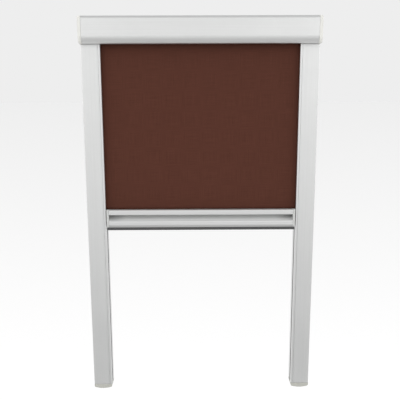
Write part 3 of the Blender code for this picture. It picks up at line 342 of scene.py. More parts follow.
def plain_weave_group():
    """A plain weave on a vector in metres: warp along Y over and under weft along X."""
    tree, given, made = new_group(
        "plain_weave",
        (("Vector", "vector"), ("Thread", "value")),
        (("Height", "value"), ("Shade", "value")),
    )
    split = tree.nodes.new("ShaderNodeSeparateXYZ")
    link(tree, given["Vector"], split.inputs[0])
    across = maths(tree, "DIVIDE", split.outputs["X"], given["Thread"])
    along = maths(tree, "DIVIDE", split.outputs["Y"], given["Thread"])
    warp = maths(tree, "ABSOLUTE", maths(tree, "SINE", maths(tree, "MULTIPLY", across, math.pi)))
    weft = maths(tree, "ABSOLUTE", maths(tree, "SINE", maths(tree, "MULTIPLY", along, math.pi)))
    cells = maths(tree, "ADD", maths(tree, "FLOOR", across), maths(tree, "FLOOR", along))
    over = maths(tree, "FLOORED_MODULO", cells, 2.0)
    pick = tree.nodes.new("ShaderNodeMix")
    pick.data_type = "FLOAT"
    link(tree, over, pick.inputs["Factor"])
    link(tree, weft, pick.inputs["A"])
    link(tree, warp, pick.inputs["B"])
    fuzz = noise(tree, given["Vector"], 9000.0, 1.0)
    height = maths(tree, "MULTIPLY_ADD", fuzz, 0.35, pick.outputs["Result"])
    link(tree, height, made["Height"])
    slubs_across = noise(tree, stretch(tree, given["Vector"], (25, 2100, 1)), 1.0, 2.0)
    slubs_along = noise(tree, stretch(tree, given["Vector"], (2100, 25, 1)), 1.0, 2.0)
    slubs = maths(tree, "ADD", slubs_across, slubs_along)
    shade = maths(tree, "MULTIPLY_ADD", pick.outputs["Result"], 0.35, remap(tree, slubs, 0.75, 1.3))
    link(tree, shade, made["Shade"])
    return tree


GROUPS = {
    "lines": extrusion_lines_group(),
    "mottle": mottle_group(),
    "worn": worn_edges_group(),
    "grain": moulded_grain_group(),
    "grip": grip_shading_group(),
    "weave": plain_weave_group(),
}


def place_group(tree, name, **values):
    """One of the shared effects placed in a material with its own values."""
    node = tree.nodes.new("ShaderNodeGroup")
    node.node_tree = GROUPS[name]
    for title, value in values.items():
        feed(tree, node.inputs[title], value)
    return node.outputs


def blend_colours(tree, factor, first, second):
    """Two colours mixed by a mask; each is a colour or a socket."""
    node = tree.nodes.new("ShaderNodeMix")
    node.data_type = "RGBA"
    feed(tree, node.inputs["Factor"], factor)
    for socket, colour in ((node.inputs[6], first), (node.inputs[7], second)):
        feed(tree, socket, colour if isinstance(colour, bpy.types.NodeSocket) else (*colour, 1))
    return node.outputs[2]


def scaled(colour, share):
    return tuple(part * share for part in colour)


def new_finish(name, **fixed):
    """A material with a Principled shader, its tree, and its object coordinates."""
    made = bpy.data.materials.new(name)
    made.use_nodes = True
    shader = made.node_tree.nodes["Principled BSDF"]
    for title, value in fixed.items():
        shader.inputs[title.replace("_", " ")].default_value = value
    coordinates = made.node_tree.nodes.new("ShaderNodeTexCoord")
    return made, made.node_tree, shader, coordinates.outputs["Object"]


def raise_relief(tree, shader, height, distance, strength=1.0):
    bump = tree.nodes.new("ShaderNodeBump")
    bump.inputs["Distance"].default_value = distance
    bump.inputs["Strength"].default_value = strength
    link(tree, height, bump.inputs["Height"])
    link(tree, bump.outputs["Normal"], shader.inputs["Normal"])


# Finishes
def anodised_aluminium(name, turn, effect=None):
    """Satin anodised extrusion with its die lines turned to run along the profile, and, where an
    effect is named, the painted shade and painted highlight that it gives, as a share of the
    brightness."""
    colour = (0.77, 0.775, 0.77)
    made, tree, shader, place = new_finish(name, Metallic=1.0)
    drawn = stretch(tree, place, (1, 1, 1), turn)
    lines = place_group(tree, "lines", Vector=drawn)
    clouds = place_group(tree, "mottle", Vector=place, Scale=14.0)["Mask"]
    worn = place_group(tree, "worn", Vector=place, Width=0.0006)["Mask"]
    body = blend_colours(tree, lines["Shade"], scaled(colour, 0.975), scaled(colour, 1.02))
    soft = blend_colours(tree, maths(tree, "MULTIPLY", clouds, 0.35), body, scaled(colour, 0.955))
    final = blend_colours(tree, maths(tree, "MULTIPLY", worn, 0.5), soft, (0.86, 0.86, 0.85))
    # the named effect paints shade and a highlight into the colour, as a share of its brightness
    if effect:
        toned = tree.nodes.new("ShaderNodeVectorMath")
        toned.operation = "SCALE"
        link(tree, final, toned.inputs[0])
        link(tree, place_group(tree, effect, Vector=place)["Share"], toned.inputs["Scale"])
        final = toned.outputs["Vector"]
    link(tree, final, shader.inputs["Base Color"])
    base = remap(tree, clouds, 0.0, 1.0, 0.36, 0.42)
    rough = maths(tree, "MULTIPLY_ADD", worn, -0.14, base)
    link(tree, maths(tree, "MULTIPLY_ADD", lines["Shade"], 0.03, rough), shader.inputs["Roughness"])
    raise_relief(tree, shader, lines["Height"], 0.000012, 0.6)
    return made


def moulded_plastic(name, colour, rough, scale=1500.0, relief=0.00002, wear=1.0):
    """Moulded plastic with a fine grain, faint clouding and slightly polished edges."""
    made, tree, shader, place = new_finish(name, Specular_IOR_Level=0.4)
    grain = place_group(tree, "grain", Vector=place, Scale=scale)["Height"]
    clouds = place_group(tree, "mottle", Vector=place, Scale=40.0)["Mask"]
    worn = place_group(tree, "worn", Vector=place, Width=0.0005)["Mask"]
    body = blend_colours(tree, clouds, scaled(colour, 1.01), scaled(colour, 0.965))
    rubbed = maths(tree, "MULTIPLY", worn, 0.35 * wear)
    final = blend_colours(tree, rubbed, body, tuple(min(1, part * 1.08) for part in colour))
    link(tree, final, shader.inputs["Base Color"])
    base = remap(tree, clouds, 0.0, 1.0, rough - 0.03, rough + 0.05)
    link(tree, maths(tree, "MULTIPLY_ADD", worn, -0.12 * wear, base), shader.inputs["Roughness"])
    raise_relief(tree, shader, grain, relief)
    return made


def woven_cloth(name, colour):
    """Light-proof cloth, woven on the piece's UV map, which is in metres along the cloth."""
    made, tree, shader, place = new_finish(name, Specular_IOR_Level=0.08, Sheen_Weight=0.02)
    shader.inputs["Sheen Roughness"].default_value = 0.6
    shader.inputs["Sheen Tint"].default_value = (0.9, 0.6, 0.5, 1)
    own = tree.nodes.new("ShaderNodeUVMap")
    own.uv_map = "cut"
    weave = place_group(tree, "weave", Vector=own.outputs["UV"], Thread=THREAD)
    clouds = place_group(tree, "mottle", Vector=place, Scale=9.0)["Mask"]
    threads = blend_colours(tree, weave["Shade"], scaled(colour, 0.80), scaled(colour, 1.12))
    final = blend_colours(tree, maths(tree, "MULTIPLY", clouds, 0.12), threads, scaled(colour, 0.90))
    link(tree, final, shader.inputs["Base Color"])
    link(tree, remap(tree, weave["Shade"], 0.0, 1.3, 0.94, 0.80), shader.inputs["Roughness"])
    raise_relief(tree, shader, weave["Height"], 0.00006, 0.8)
    return made


def plated_metal(name, colour, dull, rough, scale=350.0):
    """Plated or turned metal with fine tool marks, cloudy plating and bright edges."""
    made, tree, shader, place = new_finish(name, Metallic=1.0)
    clouds = place_group(tree, "mottle", Vector=place, Scale=scale)["Mask"]
    marks = place_group(tree, "lines", Vector=place)
    worn = place_group(tree, "worn", Vector=place, Width=0.0003)["Mask"]
    body = blend_colours(tree, clouds, colour, dull)
    link(tree, blend_colours(tree, worn, body, scaled(colour, 1.12)), shader.inputs["Base Color"])
    base = remap(tree, clouds, 0.0, 1.0, rough, rough + 0.14)
    link(tree, maths(tree, "MULTIPLY_ADD", worn, -0.1, base), shader.inputs["Roughness"])
    raise_relief(tree, shader, marks["Height"], 0.00001)
    return made


def soft_fibre(name, colour, bright, scale, relief):
    """Yarn or pile: matt, with single fibres lighter than the rest."""
    made, tree, shader, place = new_finish(name, Specular_IOR_Level=0.15, Sheen_Weight=0.08)
    fibres = noise(tree, place, scale, 3.0, 0.7)
    clouds = place_group(tree, "mottle", Vector=place, Scale=60.0)["Mask"]
    strands = blend_colours(tree, remap(tree, fibres, 0.45, 0.75), colour, bright)
    final = blend_colours(tree, maths(tree, "MULTIPLY", clouds, 0.3), strands, scaled(colour, 0.8))
    link(tree, final, shader.inputs["Base Color"])
    link(tree, remap(tree, fibres, 0.3, 0.7, 0.95, 0.8), shader.inputs["Roughness"])
    raise_relief(tree, shader, fibres, relief)
    return made


ALUMINIUM_ACROSS = anodised_aluminium("anodised_aluminium_across", (0, 0, 0))
ALUMINIUM_UPRIGHT = anodised_aluminium("anodised_aluminium_upright", (0, QUARTER, 0))
# the grip's finish carries painted shade under its lip, at its ends and along its lower edge, and a
# painted highlight at the recess's foot
GRIP_ALUMINIUM = anodised_aluminium("anodised_aluminium_grip", (0, 0, 0), "grip")
CAP_PLASTIC = moulded_plastic("pale_cap_plastic", (0.90, 0.895, 0.85), 0.48)
FOOT_PLASTIC = moulded_plastic("grey_foot_plastic", (0.545, 0.545, 0.50), 0.50)
BAR_CAP_PLASTIC = moulded_plastic("bar_cap_plastic", (0.66, 0.665, 0.65), 0.46)
NYLON = moulded_plastic("natural_nylon", (0.74, 0.73, 0.67), 0.42, 1100.0)
SEAL_RUBBER = moulded_plastic("seal_rubber", (0.085, 0.085, 0.086), 0.62, 2200.0, 0.00003, 0.5)
STEEL = plated_metal("zinc_plated_steel", (0.60, 0.61, 0.62), (0.44, 0.45, 0.47), 0.30)
BRASS = plated_metal("turned_brass", (0.72, 0.54, 0.26), (0.52, 0.38, 0.18), 0.28)
PILE = soft_fibre("pile_fibre", (0.011, 0.011, 0.012), (0.05, 0.05, 0.052), 4000.0, 0.00004)
YARN = soft_fibre("cord_yarn", (0.76, 0.76, 0.73), (0.88, 0.88, 0.86), 6000.0, 0.00003)
CLOTH = woven_cloth("blind_cloth", (0.1024, 0.0371, 0.0250))

FINISHES = {
    "silver_aluminium": ALUMINIUM_ACROSS,
    "light_grey_plastic": CAP_PLASTIC,
    "black_pile": PILE,
    "brown_cloth": CLOTH,
    "zinc_steel": STEEL,
    "brass": BRASS,
    "black_rubber": SEAL_RUBBER,
    "natural_nylon": NYLON,
    "white_cord": YARN,
}
OWN_FINISH = {
    "grip_bar": GRIP_ALUMINIUM,
    "left_rail_base": ALUMINIUM_UPRIGHT,
    "right_rail_base": ALUMINIUM_UPRIGHT,
    "left_rail_cover": ALUMINIUM_UPRIGHT,
    "right_rail_cover": ALUMINIUM_UPRIGHT,
    "left_rail_foot": FOOT_PLASTIC,
    "right_rail_foot": FOOT_PLASTIC,
    "left_bar_cap": BAR_CAP_PLASTIC,
    "right_bar_cap": BAR_CAP_PLASTIC,
}


# The pieces that are carried over from the solids
def geometry_tree(name):
    """An empty geometry node tree with its source and result."""
    tree = bpy.data.node_groups.new(name, "GeometryNodeTree")
    tree.interface.new_socket("Geometry", in_out="INPUT", socket_type="NodeSocketGeometry")
    tree.interface.new_socket("Geometry", in_out="OUTPUT", socket_type="NodeSocketGeometry")
    source = tree.nodes.new("NodeGroupInput").outputs["Geometry"]
    return tree, source, tree.nodes.new("NodeGroupOutput").inputs["Geometry"]


def joined_faces():
    """Geometry nodes that merge a solid's loose triangles and forget their facets' normals."""
    tree, source, result = geometry_tree("joined_faces")
    merge = tree.nodes.new("GeometryNodeMergeByDistance")
    merge.inputs["Distance"].default_value = MERGE
    forget = tree.nodes.new("GeometryNodeRemoveAttribute")
    forget.inputs["Name"].default_value = "custom_normal"
    smooth = tree.nodes.new("GeometryNodeSetShadeSmooth")
    link(tree, source, merge.inputs["Geometry"])
    link(tree, merge.outputs["Geometry"], forget.inputs["Geometry"])
    link(tree, forget.outputs["Geometry"], smooth.inputs["Geometry"])
    link(tree, smooth.outputs["Geometry"], result)
    return tree


def sharp_corners():
    """Geometry nodes that shade every edge past the sharp angle as a sharp one."""
    tree, source, result = geometry_tree("sharp_corners")
    angle = tree.nodes.new("GeometryNodeInputMeshEdgeAngle")
    wide = tree.nodes.new("FunctionNodeCompare")
    wide.operation = "GREATER_THAN"
    wide.inputs["B"].default_value = SHARP_ANGLE
    sharp = tree.nodes.new("GeometryNodeSetShadeSmooth")
    sharp.domain = "EDGE"
    sharp.inputs["Shade Smooth"].default_value = False
    link(tree, source, sharp.inputs["Geometry"])
    link(tree, angle.outputs["Unsigned Angle"], wide.inputs["A"])
    link(tree, wide.outputs["Result"], sharp.inputs["Selection"])
    link(tree, sharp.outputs["Geometry"], result)
    return tree


JOINED = joined_faces()
SHARP = sharp_corners()


def dress(node, finish):
    """Give a carried-over piece its finish, round its edges and shade its curves smooth."""
    made = NODES[node]
    for slot in made.material_slots:
        slot.material = finish
    made.modifiers.new("joined faces", "NODES").node_group = JOINED
    if node not in UNROUNDED:
        flat = made.modifiers.new("whole faces", "DECIMATE")
        flat.decimate_type = "DISSOLVE"
        flat.angle_limit = FINE_ANGLE
        rounded = made.modifiers.new("rounded edges", "BEVEL")
        rounded.width = EDGE_ROUND
        rounded.segments = 2
        rounded.limit_method = "ANGLE"
        rounded.angle_limit = CORNER_ANGLE
    made.modifiers.new("sharp corners", "NODES").node_group = SHARP
    level = made.modifiers.new("level faces", "WEIGHTED_NORMAL")
    level.keep_sharp = True


for node, slot_name in SLOT_OF.items():
    dress(node, OWN_FINISH.get(node, FINISHES[slot_name]))


# Modelling helpers
def mesh_from(bm, name):
    """A mesh made from a bmesh, which is given up."""
    mesh = bpy.data.meshes.new(name)
    bm.to_mesh(mesh)
    bm.free()
    return mesh


def put_in_scene(name, data):
    made = bpy.data.objects.new(name, data)
    bpy.context.scene.collection.objects.link(made)
    return made


def keep(bm, name, finish, nodes):
    """Turn a bmesh into a piece that stands for CAD nodes, with its finish and slot."""
    mesh = mesh_from(bm, name)
    mesh.materials.append(finish)
    made = put_in_scene(name, mesh)
    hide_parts(*nodes)
    return made


def close_ends(bm):
    """Fill every open loop, and turn all faces outwards."""
    open_edges = [edge for edge in bm.edges if edge.is_boundary]
    if open_edges:
        bmesh.ops.holes_fill(bm, edges=open_edges, sides=0)
    bmesh.ops.recalc_face_normals(bm, faces=bm.faces[:])


def shade(bm, angle=CURVE_ANGLE):
    """Shade a bmesh smooth, with its corners sharp."""
    for face in bm.faces:
        face.smooth = True
    for edge in bm.edges:
        if len(edge.link_faces) == 2 and edge.calc_face_angle() > angle:
            edge.smooth = False


def outline(bm, points):
    """Vertices joined in a chain of edges."""
    verts = [bm.verts.new(point) for point in points]
    edges = [bm.edges.new(pair) for pair in zip(verts, verts[1:])]
    return verts + edges


# The cloth
def set_cut_uv(bm, place_of):
    """Write each corner's place in the weave, in metres."""
    layer = bm.loops.layers.uv.new("cut")
    for face in bm.faces:
        for loop in face.loops:
            loop[layer].uv = place_of(loop)


def make_hanging_cloth():
    """The drawn part of the cloth, tight between the roller and the bar."""
    low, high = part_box("cloth")
    width, drop = high.x - low.x, high.z - low.z
    middle = (low.y + high.y) / 2
    bm = bmesh.new()
    bmesh.ops.create_grid(
        bm, x_segments=round(width / CLOTH_CELL), y_segments=round(drop / CLOTH_CELL), size=0.5
    )
    bmesh.ops.scale(bm, vec=(width, drop, 1), verts=bm.verts[:])
    bmesh.ops.rotate(
        bm, cent=(0, 0, 0), matrix=Matrix.Rotation(QUARTER, 3, "X"), verts=bm.verts[:]
    )
    bmesh.ops.translate(bm, vec=(0, middle, (low.z + high.z) / 2), verts=bm.verts[:])
    for vert in bm.verts:
        across = abs(vert.co.x) / (width / 2)
        down = -vert.co.z / drop
        wave = math.sin(EDGE_WAVES[0] * down + EDGE_WAVES[1] * vert.co.x)
        vert.co.y += EDGE_RELAX * across**6 * wave
    bmesh.ops.recalc_face_normals(bm, faces=bm.faces[:])
    bmesh.ops.solidify(bm, geom=bm.faces[:], thickness=CLOTH_THICKNESS)
    set_cut_uv(bm, lambda loop: (loop.vert.co.x, loop.vert.co.z))
    for face in bm.faces:
        face.smooth = abs(face.normal.y) > 0.7
    made = keep(bm, "hanging_cloth", CLOTH, ["cloth"])
    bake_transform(made)


def make_wound_cloth():
    """The rest of the cloth, wound on the tube in one long spiral."""
    low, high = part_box("cloth_roll")
    width, wound = high.x - low.x, WOUND_LENGTH
    axis = Vector((0, (low.y + high.y) / 2, (low.z + high.z) / 2))
    outer = (high.z - low.z) / 2 - WOUND_CLOTH / 2
    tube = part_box("roller_tube")
    inner = (tube[1].z - tube[0].z) / 2 + TUBE_GAP + WOUND_CLOTH / 2 + TURN_GAP
    turns = wound / (math.pi * (outer + inner))
    count = round(turns * TURN_STEPS)
    points = []
    for step in range(count + 1):
        angle = -math.tau * turns * step / count
        radius = outer + (inner - outer) * step / count
        points.append((low.x, axis.y + radius * math.cos(angle), axis.z - radius * math.sin(angle)))
    bm = bmesh.new()
    along = bm.verts.layers.float.new("along")
    outline(bm, points)
    for step, vert in enumerate(bm.verts):
        vert[along] = wound * step / count
    grown = bmesh.ops.extrude_edge_only(bm, edges=bm.edges[:])["geom"]
    moved = [part for part in grown if isinstance(part, bmesh.types.BMVert)]
    bmesh.ops.translate(bm, vec=(width, 0, 0), verts=moved)
    bmesh.ops.recalc_face_normals(bm, faces=bm.faces[:])
    bmesh.ops.solidify(bm, geom=bm.faces[:], thickness=WOUND_CLOTH)
    set_cut_uv(bm, lambda loop: (loop.vert.co.x, loop.vert[along] - DRAWN_LENGTH))
    for face in bm.faces:
        face.smooth = True
    for edge in bm.edges:
        edge.smooth = edge.calc_face_angle(0.0) < CURVE_ANGLE
    made = keep(bm, "wound_cloth", CLOTH, ["cloth_roll"])
    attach(made, "roller")


# The pile strips
def tuft_blank(reach):
    """One tapered tuft standing along Y from its root."""
    bm = bmesh.new()
    bmesh.ops.create_cone(
        bm,
        cap_ends=True,
        segments=4,
        radius1=TUFT_RADIUS,
        radius2=TUFT_RADIUS * TUFT_TAPER,
        depth=reach,
    )
    turn = Matrix.Rotation(-QUARTER, 3, "X")
    bmesh.ops.rotate(bm, cent=(0, 0, 0), matrix=turn, verts=bm.verts[:])
    bmesh.ops.translate(bm, vec=(0, reach / 2, 0), verts=bm.verts[:])
    for face in bm.faces:
        face.smooth = len(face.verts) == 4 and abs(face.normal.y) < 0.8
    return mesh_from(bm, "tuft")


def pile_length(reach):
    """A short length of pile: rows of tufts that lean each their own way, on its base."""
    blank = tuft_blank(reach)
    chance = random.Random(7)
    bm = bmesh.new()
    backing = bmesh.ops.create_cube(bm, size=1)["verts"]
    bmesh.ops.scale(bm, vec=(PILE_BASE_WIDTH, PILE_BASE, PILE_CELL), verts=backing)
    bmesh.ops.translate(bm, vec=(0, -PILE_BASE / 2, PILE_CELL / 2), verts=backing)
    for row in range(PILE_ROWS):
        for step in range(PILE_STEPS):
            lean = Matrix.Identity(4)
            lean[0][1] = chance.uniform(-LEAN_ASIDE, LEAN_ASIDE)
            lean[2][1] = chance.uniform(-LEAN_ALONG, LEAN_ALONG)
            lean[1][1] = chance.uniform(SHORTEST_TUFT, 1.0)
            across = (row / (PILE_ROWS - 1) - 0.5) * (PILE_WIDTH - 2 * TUFT_RADIUS - PILE_MARGIN)
            along = (step + (0.25, 0.75)[row % 2]) * PILE_CELL / PILE_STEPS
            tuft = blank.copy()
            tuft.transform(Matrix.Translation((across, -TUFT_ROOT, along)) @ lean)
            bm.from_mesh(tuft)
            bpy.data.meshes.remove(tuft)
    bpy.data.meshes.remove(blank)
    return mesh_from(bm, "pile_length")


def make_pile_strip(node):
    """A base with dense rows of short tufts towards the cloth."""
    low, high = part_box(node)
    front = node.endswith("front_pile_seal")
    reach = high.y - low.y - PILE_BASE
    cell = pile_length(reach)
    count = math.floor((high.z - low.z) / PILE_CELL)
    fit = (high.z - low.z) / (count * PILE_CELL)
    root = Vector(((low.x + high.x) / 2, low.y + PILE_BASE if front else high.y - PILE_BASE, low.z))
    face = Matrix.Diagonal((1, 1 if front else -1, fit, 1))
    bm = bmesh.new()
    for step in range(count):
        shift = Matrix.Translation(root + Vector((0, 0, step * PILE_CELL * fit)))
        part = cell.copy()
        part.transform(shift @ face)
        bm.from_mesh(part)
        bpy.data.meshes.remove(part)
    bpy.data.meshes.remove(cell)
    bmesh.ops.recalc_face_normals(bm, faces=bm.faces[:])
    made = keep(bm, "tufted_" + node, PILE, [node])
    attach(made, "frame")


# The cords
def cord_lay(radius, lay):
    """One full turn of a cord of three strands laid together, standing on its end."""
    bm = bmesh.new()
    ring = bmesh.ops.create_circle(bm, segments=CORD_SIDES, radius=radius)["verts"]
    for vert in ring:
        # three lobes, with a groove a fifth of the radius deep between each two
        angle = math.atan2(vert.co.y, vert.co.x)
        lobe = 0.80 + 0.20 * abs(math.cos(1.5 * angle)) ** 0.6
        vert.co.xy = vert.co.xy * lobe
    bmesh.ops.spin(
        bm,
        geom=bm.edges[:],
        cent=(0, 0, 0),
        axis=(0, 0, 1),
        dvec=(0, 0, lay / LAY_STEPS),
        angle=math.tau,
        steps=LAY_STEPS,
        use_merge=False,
    )
    return mesh_from(bm, "cord_lay")


def make_laid_cord(node, body):
    """A straight cord of three strands, made of whole lays."""
    low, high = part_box(node)
    size = high - low
    along = max(range(3), key=lambda way: size[way])
    count = round(size[along] / CORD_LAY)
    lay = size[along] / count
    turn = Matrix.Rotation(QUARTER, 4, "Y") if along == 0 else Matrix.Identity(4)
    start = (low + high) / 2
    start[along] = low[along]
    blank = cord_lay(min(size) / 2, lay)
    bm = bmesh.new()
    for step in range(count):
        part = blank.copy()
        part.transform(Matrix.Translation(start) @ turn @ Matrix.Translation((0, 0, lay * step)))
        bm.from_mesh(part)
        bpy.data.meshes.remove(part)
    bpy.data.meshes.remove(blank)
    bmesh.ops.remove_doubles(bm, verts=bm.verts[:], dist=MERGE)
    close_ends(bm)
    shade(bm, STRAND_ANGLE)
    made = keep(bm, "laid_" + node, YARN, [node])
    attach(made, body)


# The screws
def screw_shape():
    """A pan-head screw with a cross recess and rings for its thread, pointing down."""
    profile = [*CROWN, (HEAD_RADIUS, -HEAD_HEIGHT)]
    profile += [(CREST_RADIUS, -HEAD_HEIGHT), (CREST_RADIUS, -HEAD_HEIGHT - PITCH)]
    start = -HEAD_HEIGHT - PLAIN_SHANK
    while start - PITCH > -SCREW_LENGTH + POINT_ROOM:
        profile += [(CORE_RADIUS, start - PITCH * 0.25), (CORE_RADIUS, start - PITCH * 0.5)]
        profile += [(CREST_RADIUS, start - PITCH * 0.85), (CREST_RADIUS, start - PITCH * 0.95)]
        start -= PITCH
    profile.append((CORE_RADIUS, -SCREW_LENGTH + PLAIN_SHANK))
    profile += [(POINT_RADIUS, -SCREW_LENGTH), (0, -SCREW_LENGTH)]
    bm = bmesh.new()
    bmesh.ops.spin(
        bm,
        geom=outline(bm, [(x, 0, z) for x, z in profile]),
        cent=(0, 0, 0),
        axis=(0, 0, 1),
        angle=math.tau,
        steps=SCREW_SIDES,
        use_merge=True,
    )
    bmesh.ops.remove_doubles(bm, verts=bm.verts[:], dist=SCREW_MERGE)
    bmesh.ops.recalc_face_normals(bm, faces=bm.faces[:])
    blank = put_in_scene("screw_blank", mesh_from(bm, "screw_blank"))
    cutter = bmesh.new()
    for turn in (0, QUARTER):
        blade = bmesh.ops.create_cube(cutter, size=1)["verts"]
        bmesh.ops.scale(cutter, vec=CROSS_BLADE, verts=blade)
        for vert in blade:
            if vert.co.z < 0:
                vert.co.x *= CROSS_TAPER
        bmesh.ops.rotate(
            cutter, cent=(0, 0, 0), matrix=Matrix.Rotation(turn, 3, "Z"), verts=blade
        )
    tool = put_in_scene("cross_cutter", mesh_from(cutter, "cross_cutter"))
    cut = blank.modifiers.new("cross", "BOOLEAN")
    cut.operation = "DIFFERENCE"
    cut.use_self = True
    cut.object = tool
    evaluated = blank.evaluated_get(bpy.context.evaluated_depsgraph_get())
    shape = bpy.data.meshes.new_from_object(evaluated)
    for piece in (blank, tool):
        bpy.data.objects.remove(piece)
    return shape


def make_screw(node, shape, body, ahead):
    """A screw in place of its CAD node; ahead is the way its head faces."""
    low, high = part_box(node)
    way = Vector(ahead)
    top = (low + high) / 2
    for i in range(3):
        if abs(way[i]) > 0.5:
            top[i] = high[i] if way[i] > 0 else low[i]
    bm = bmesh.new()
    bm.from_mesh(shape)
    turn = Vector((0, 0, 1)).rotation_difference(way).to_matrix()
    spin = Matrix.Rotation(hash_angle(node), 3, "Z")
    bmesh.ops.rotate(bm, cent=(0, 0, 0), matrix=turn @ spin, verts=bm.verts[:])
    bmesh.ops.translate(bm, vec=top, verts=bm.verts[:])
    shade(bm)
    made = keep(bm, "cross_" + node, STEEL, [node])
    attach(made, body)


def hash_angle(word):
    """An angle worked out from the name, so that the screws don't all stand alike."""
    return sum(ord(letter) * (place + 3) for place, letter in enumerate(word)) % 90 * math.pi / 90


def make_screws():
    shape = screw_shape()
    for side, sign in (("left", -1), ("right", 1)):
        for level in ("upper", "lower"):
            make_screw(f"{side}_{level}_bracket_screw", shape, "frame", (-sign, 0, 0))
            make_screw(f"{side}_{level}_bar_screw", shape, "bar", (sign, 0, 0))
        for place in ("rail", "foot"):
            make_screw(f"{side}_{place}_screw", shape, "frame", (0, -1, 0))
    bpy.data.meshes.remove(shape)


make_hanging_cloth()
make_wound_cloth()
for side in ("left", "right"):
    for place in ("front", "rear"):
        make_pile_strip(f"{side}_{place}_pile_seal")
    make_laid_cord(f"{side}_tension_cord", "frame")
for place in ("front", "rear"):
    make_laid_cord(f"{place}_cross_cord", "bar")
make_screws()


# Camera, light and floor
def make_camera():
    data = bpy.data.cameras.new("camera")
    data.lens = CAMERA_LENS
    data.sensor_width = SENSOR_WIDTH
    data.clip_start = NEAREST
    data.clip_end = FARTHEST
    made = put_in_scene("camera", data)
    right = Vector((1, 0, 0))
    ahead = Vector((0, math.cos(CAMERA_PITCH), -math.sin(CAMERA_PITCH)))
    up = Vector((0, math.sin(CAMERA_PITCH), math.cos(CAMERA_PITCH)))
    turn = Matrix.Rotation(CAMERA_YAW, 3, "Z")
    right, ahead, up = turn @ right, turn @ ahead, turn @ up
    level = right.copy()
    right = math.cos(CAMERA_ROLL) * level + math.sin(CAMERA_ROLL) * up
    up = -math.sin(CAMERA_ROLL) * level + math.cos(CAMERA_ROLL) * up
    pose = Matrix((right, up, -ahead)).transposed().to_4x4()
    pose.translation = CAMERA_PLACE
    made.matrix_world = pose
    bpy.context.scene.camera = made


def seen_ray(tree):
    """1 for what the camera, a gloss or a glass sees, and 0 for the light itself."""
    path = tree.nodes.new("ShaderNodeLightPath")
    seen = maths(tree, "MAXIMUM", path.outputs["Is Camera Ray"], path.outputs["Is Glossy Ray"])
    return maths(tree, "MAXIMUM", seen, path.outputs["Is Transmission Ray"])


def make_world():
    """Soft boxes at both sides in front, over an even light, with a pale backdrop behind."""
    world = bpy.data.worlds.new("studio")
    bpy.context.scene.world = world
    world.use_nodes = True
    tree = world.node_tree
    coords = tree.nodes.new("ShaderNodeTexCoord")
    split = tree.nodes.new("ShaderNodeSeparateXYZ")
    link(tree, coords.outputs["Generated"], split.inputs[0])
    x, y, z = split.outputs
    azimuth = maths(tree, "ARCTAN2", x, maths(tree, "MULTIPLY", y, -1.0))
    elevation = maths(tree, "ARCSINE", z)
    light = remap(tree, z, *EASE, LIGHT_BELOW, LIGHT_ABOVE)
    for side, rise, wide, tall, strength in SOFT_BOXES:
        terms = []
        for angle, centre, spread in ((azimuth, side, wide), (elevation, rise, tall)):
            off = maths(tree, "SUBTRACT", angle, math.radians(centre))
            off = maths(tree, "DIVIDE", off, math.radians(spread))
            terms.append(maths(tree, "MULTIPLY", off, off))
        total = maths(tree, "MULTIPLY", maths(tree, "ADD", *terms), -0.5)
        glow = maths(tree, "EXPONENT", total)
        light = maths(tree, "MULTIPLY_ADD", glow, strength, light)
    behind = remap(tree, y, *EASE)
    mix = tree.nodes.new("ShaderNodeMix")
    mix.data_type = "FLOAT"
    link(tree, behind, mix.inputs["Factor"])
    link(tree, light, mix.inputs["A"])
    mix.inputs["B"].default_value = BACKDROP
    # the camera sees the backdrop all round
    path = tree.nodes.new("ShaderNodeLightPath")
    final = tree.nodes.new("ShaderNodeMix")
    final.data_type = "FLOAT"
    link(tree, path.outputs["Is Camera Ray"], final.inputs["Factor"])
    link(tree, mix.outputs["Result"], final.inputs["A"])
    final.inputs["B"].default_value = BACKDROP
    link(tree, final.outputs["Result"], tree.nodes["Background"].inputs["Color"])


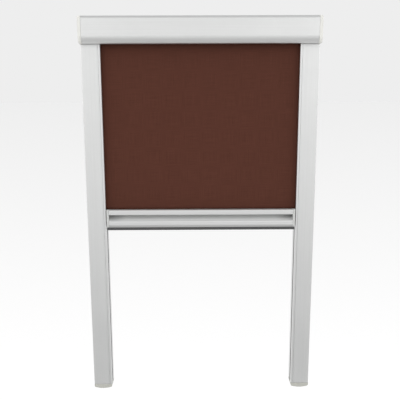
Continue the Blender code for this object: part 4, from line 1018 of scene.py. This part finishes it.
def make_floor():
    """A large pale floor that keeps the blind's shadow. To the camera it glows a little, more so
    where the camera looks steeply down on it, and it is clear from below."""
    bm = bmesh.new()
    bmesh.ops.create_grid(bm, x_segments=1, y_segments=1, size=FLOOR_HALF)
    bmesh.ops.translate(bm, vec=(0, 0, CAD_BOX[0].z - FLOOR_DROP), verts=bm.verts[:])
    made = put_in_scene("floor", mesh_from(bm, "floor"))
    surface, tree, shader, place = new_finish("pale_floor", Roughness=1.0, Specular_IOR_Level=0.0)
    shader.inputs["Base Color"].default_value = (FLOOR_COLOUR, FLOOR_COLOUR, FLOOR_COLOUR, 1)
    split = tree.nodes.new("ShaderNodeSeparateXYZ")
    link(tree, place, split.inputs[0])
    y = split.outputs["Y"]
    ahead = maths(tree, "MAXIMUM", maths(tree, "SUBTRACT", y, CAMERA_PLACE.y), LEAST_AHEAD)
    drop = CAMERA_PLACE.z - CAD_BOX[0].z + FLOOR_DROP
    slope = maths(tree, "ARCTANGENT", maths(tree, "DIVIDE", drop, ahead))
    behind = maths(tree, "MULTIPLY_ADD", slope, FLOOR_SLOPE, FLOOR_GLOW)
    behind = maths(tree, "MULTIPLY", behind, remap(tree, y, GLOW_STARTS, GLOW_FULL))
    front = remap(tree, y, FRONT_STARTS, FRONT_FULL, 0.0, FRONT_GLOW)
    amount = maths(tree, "MULTIPLY", maths(tree, "ADD", behind, front), seen_ray(tree))
    glow = tree.nodes.new("ShaderNodeEmission")
    link(tree, amount, glow.inputs["Strength"])
    both = tree.nodes.new("ShaderNodeAddShader")
    link(tree, shader.outputs["BSDF"], both.inputs[0])
    link(tree, glow.outputs["Emission"], both.inputs[1])
    # the floor's underside is clear to the camera
    path = tree.nodes.new("ShaderNodeLightPath")
    side = tree.nodes.new("ShaderNodeNewGeometry")
    under = maths(tree, "MULTIPLY", side.outputs["Backfacing"], path.outputs["Is Camera Ray"])
    clear = tree.nodes.new("ShaderNodeBsdfTransparent")
    choice = tree.nodes.new("ShaderNodeMixShader")
    link(tree, under, choice.inputs["Fac"])
    link(tree, both.outputs["Shader"], choice.inputs[1])
    link(tree, clear.outputs["BSDF"], choice.inputs[2])
    link(tree, choice.outputs["Shader"], tree.nodes["Material Output"].inputs["Surface"])
    made.data.materials.append(surface)


make_camera()
make_world()
make_floor()
bpy.context.scene.view_settings.view_transform = "Standard"
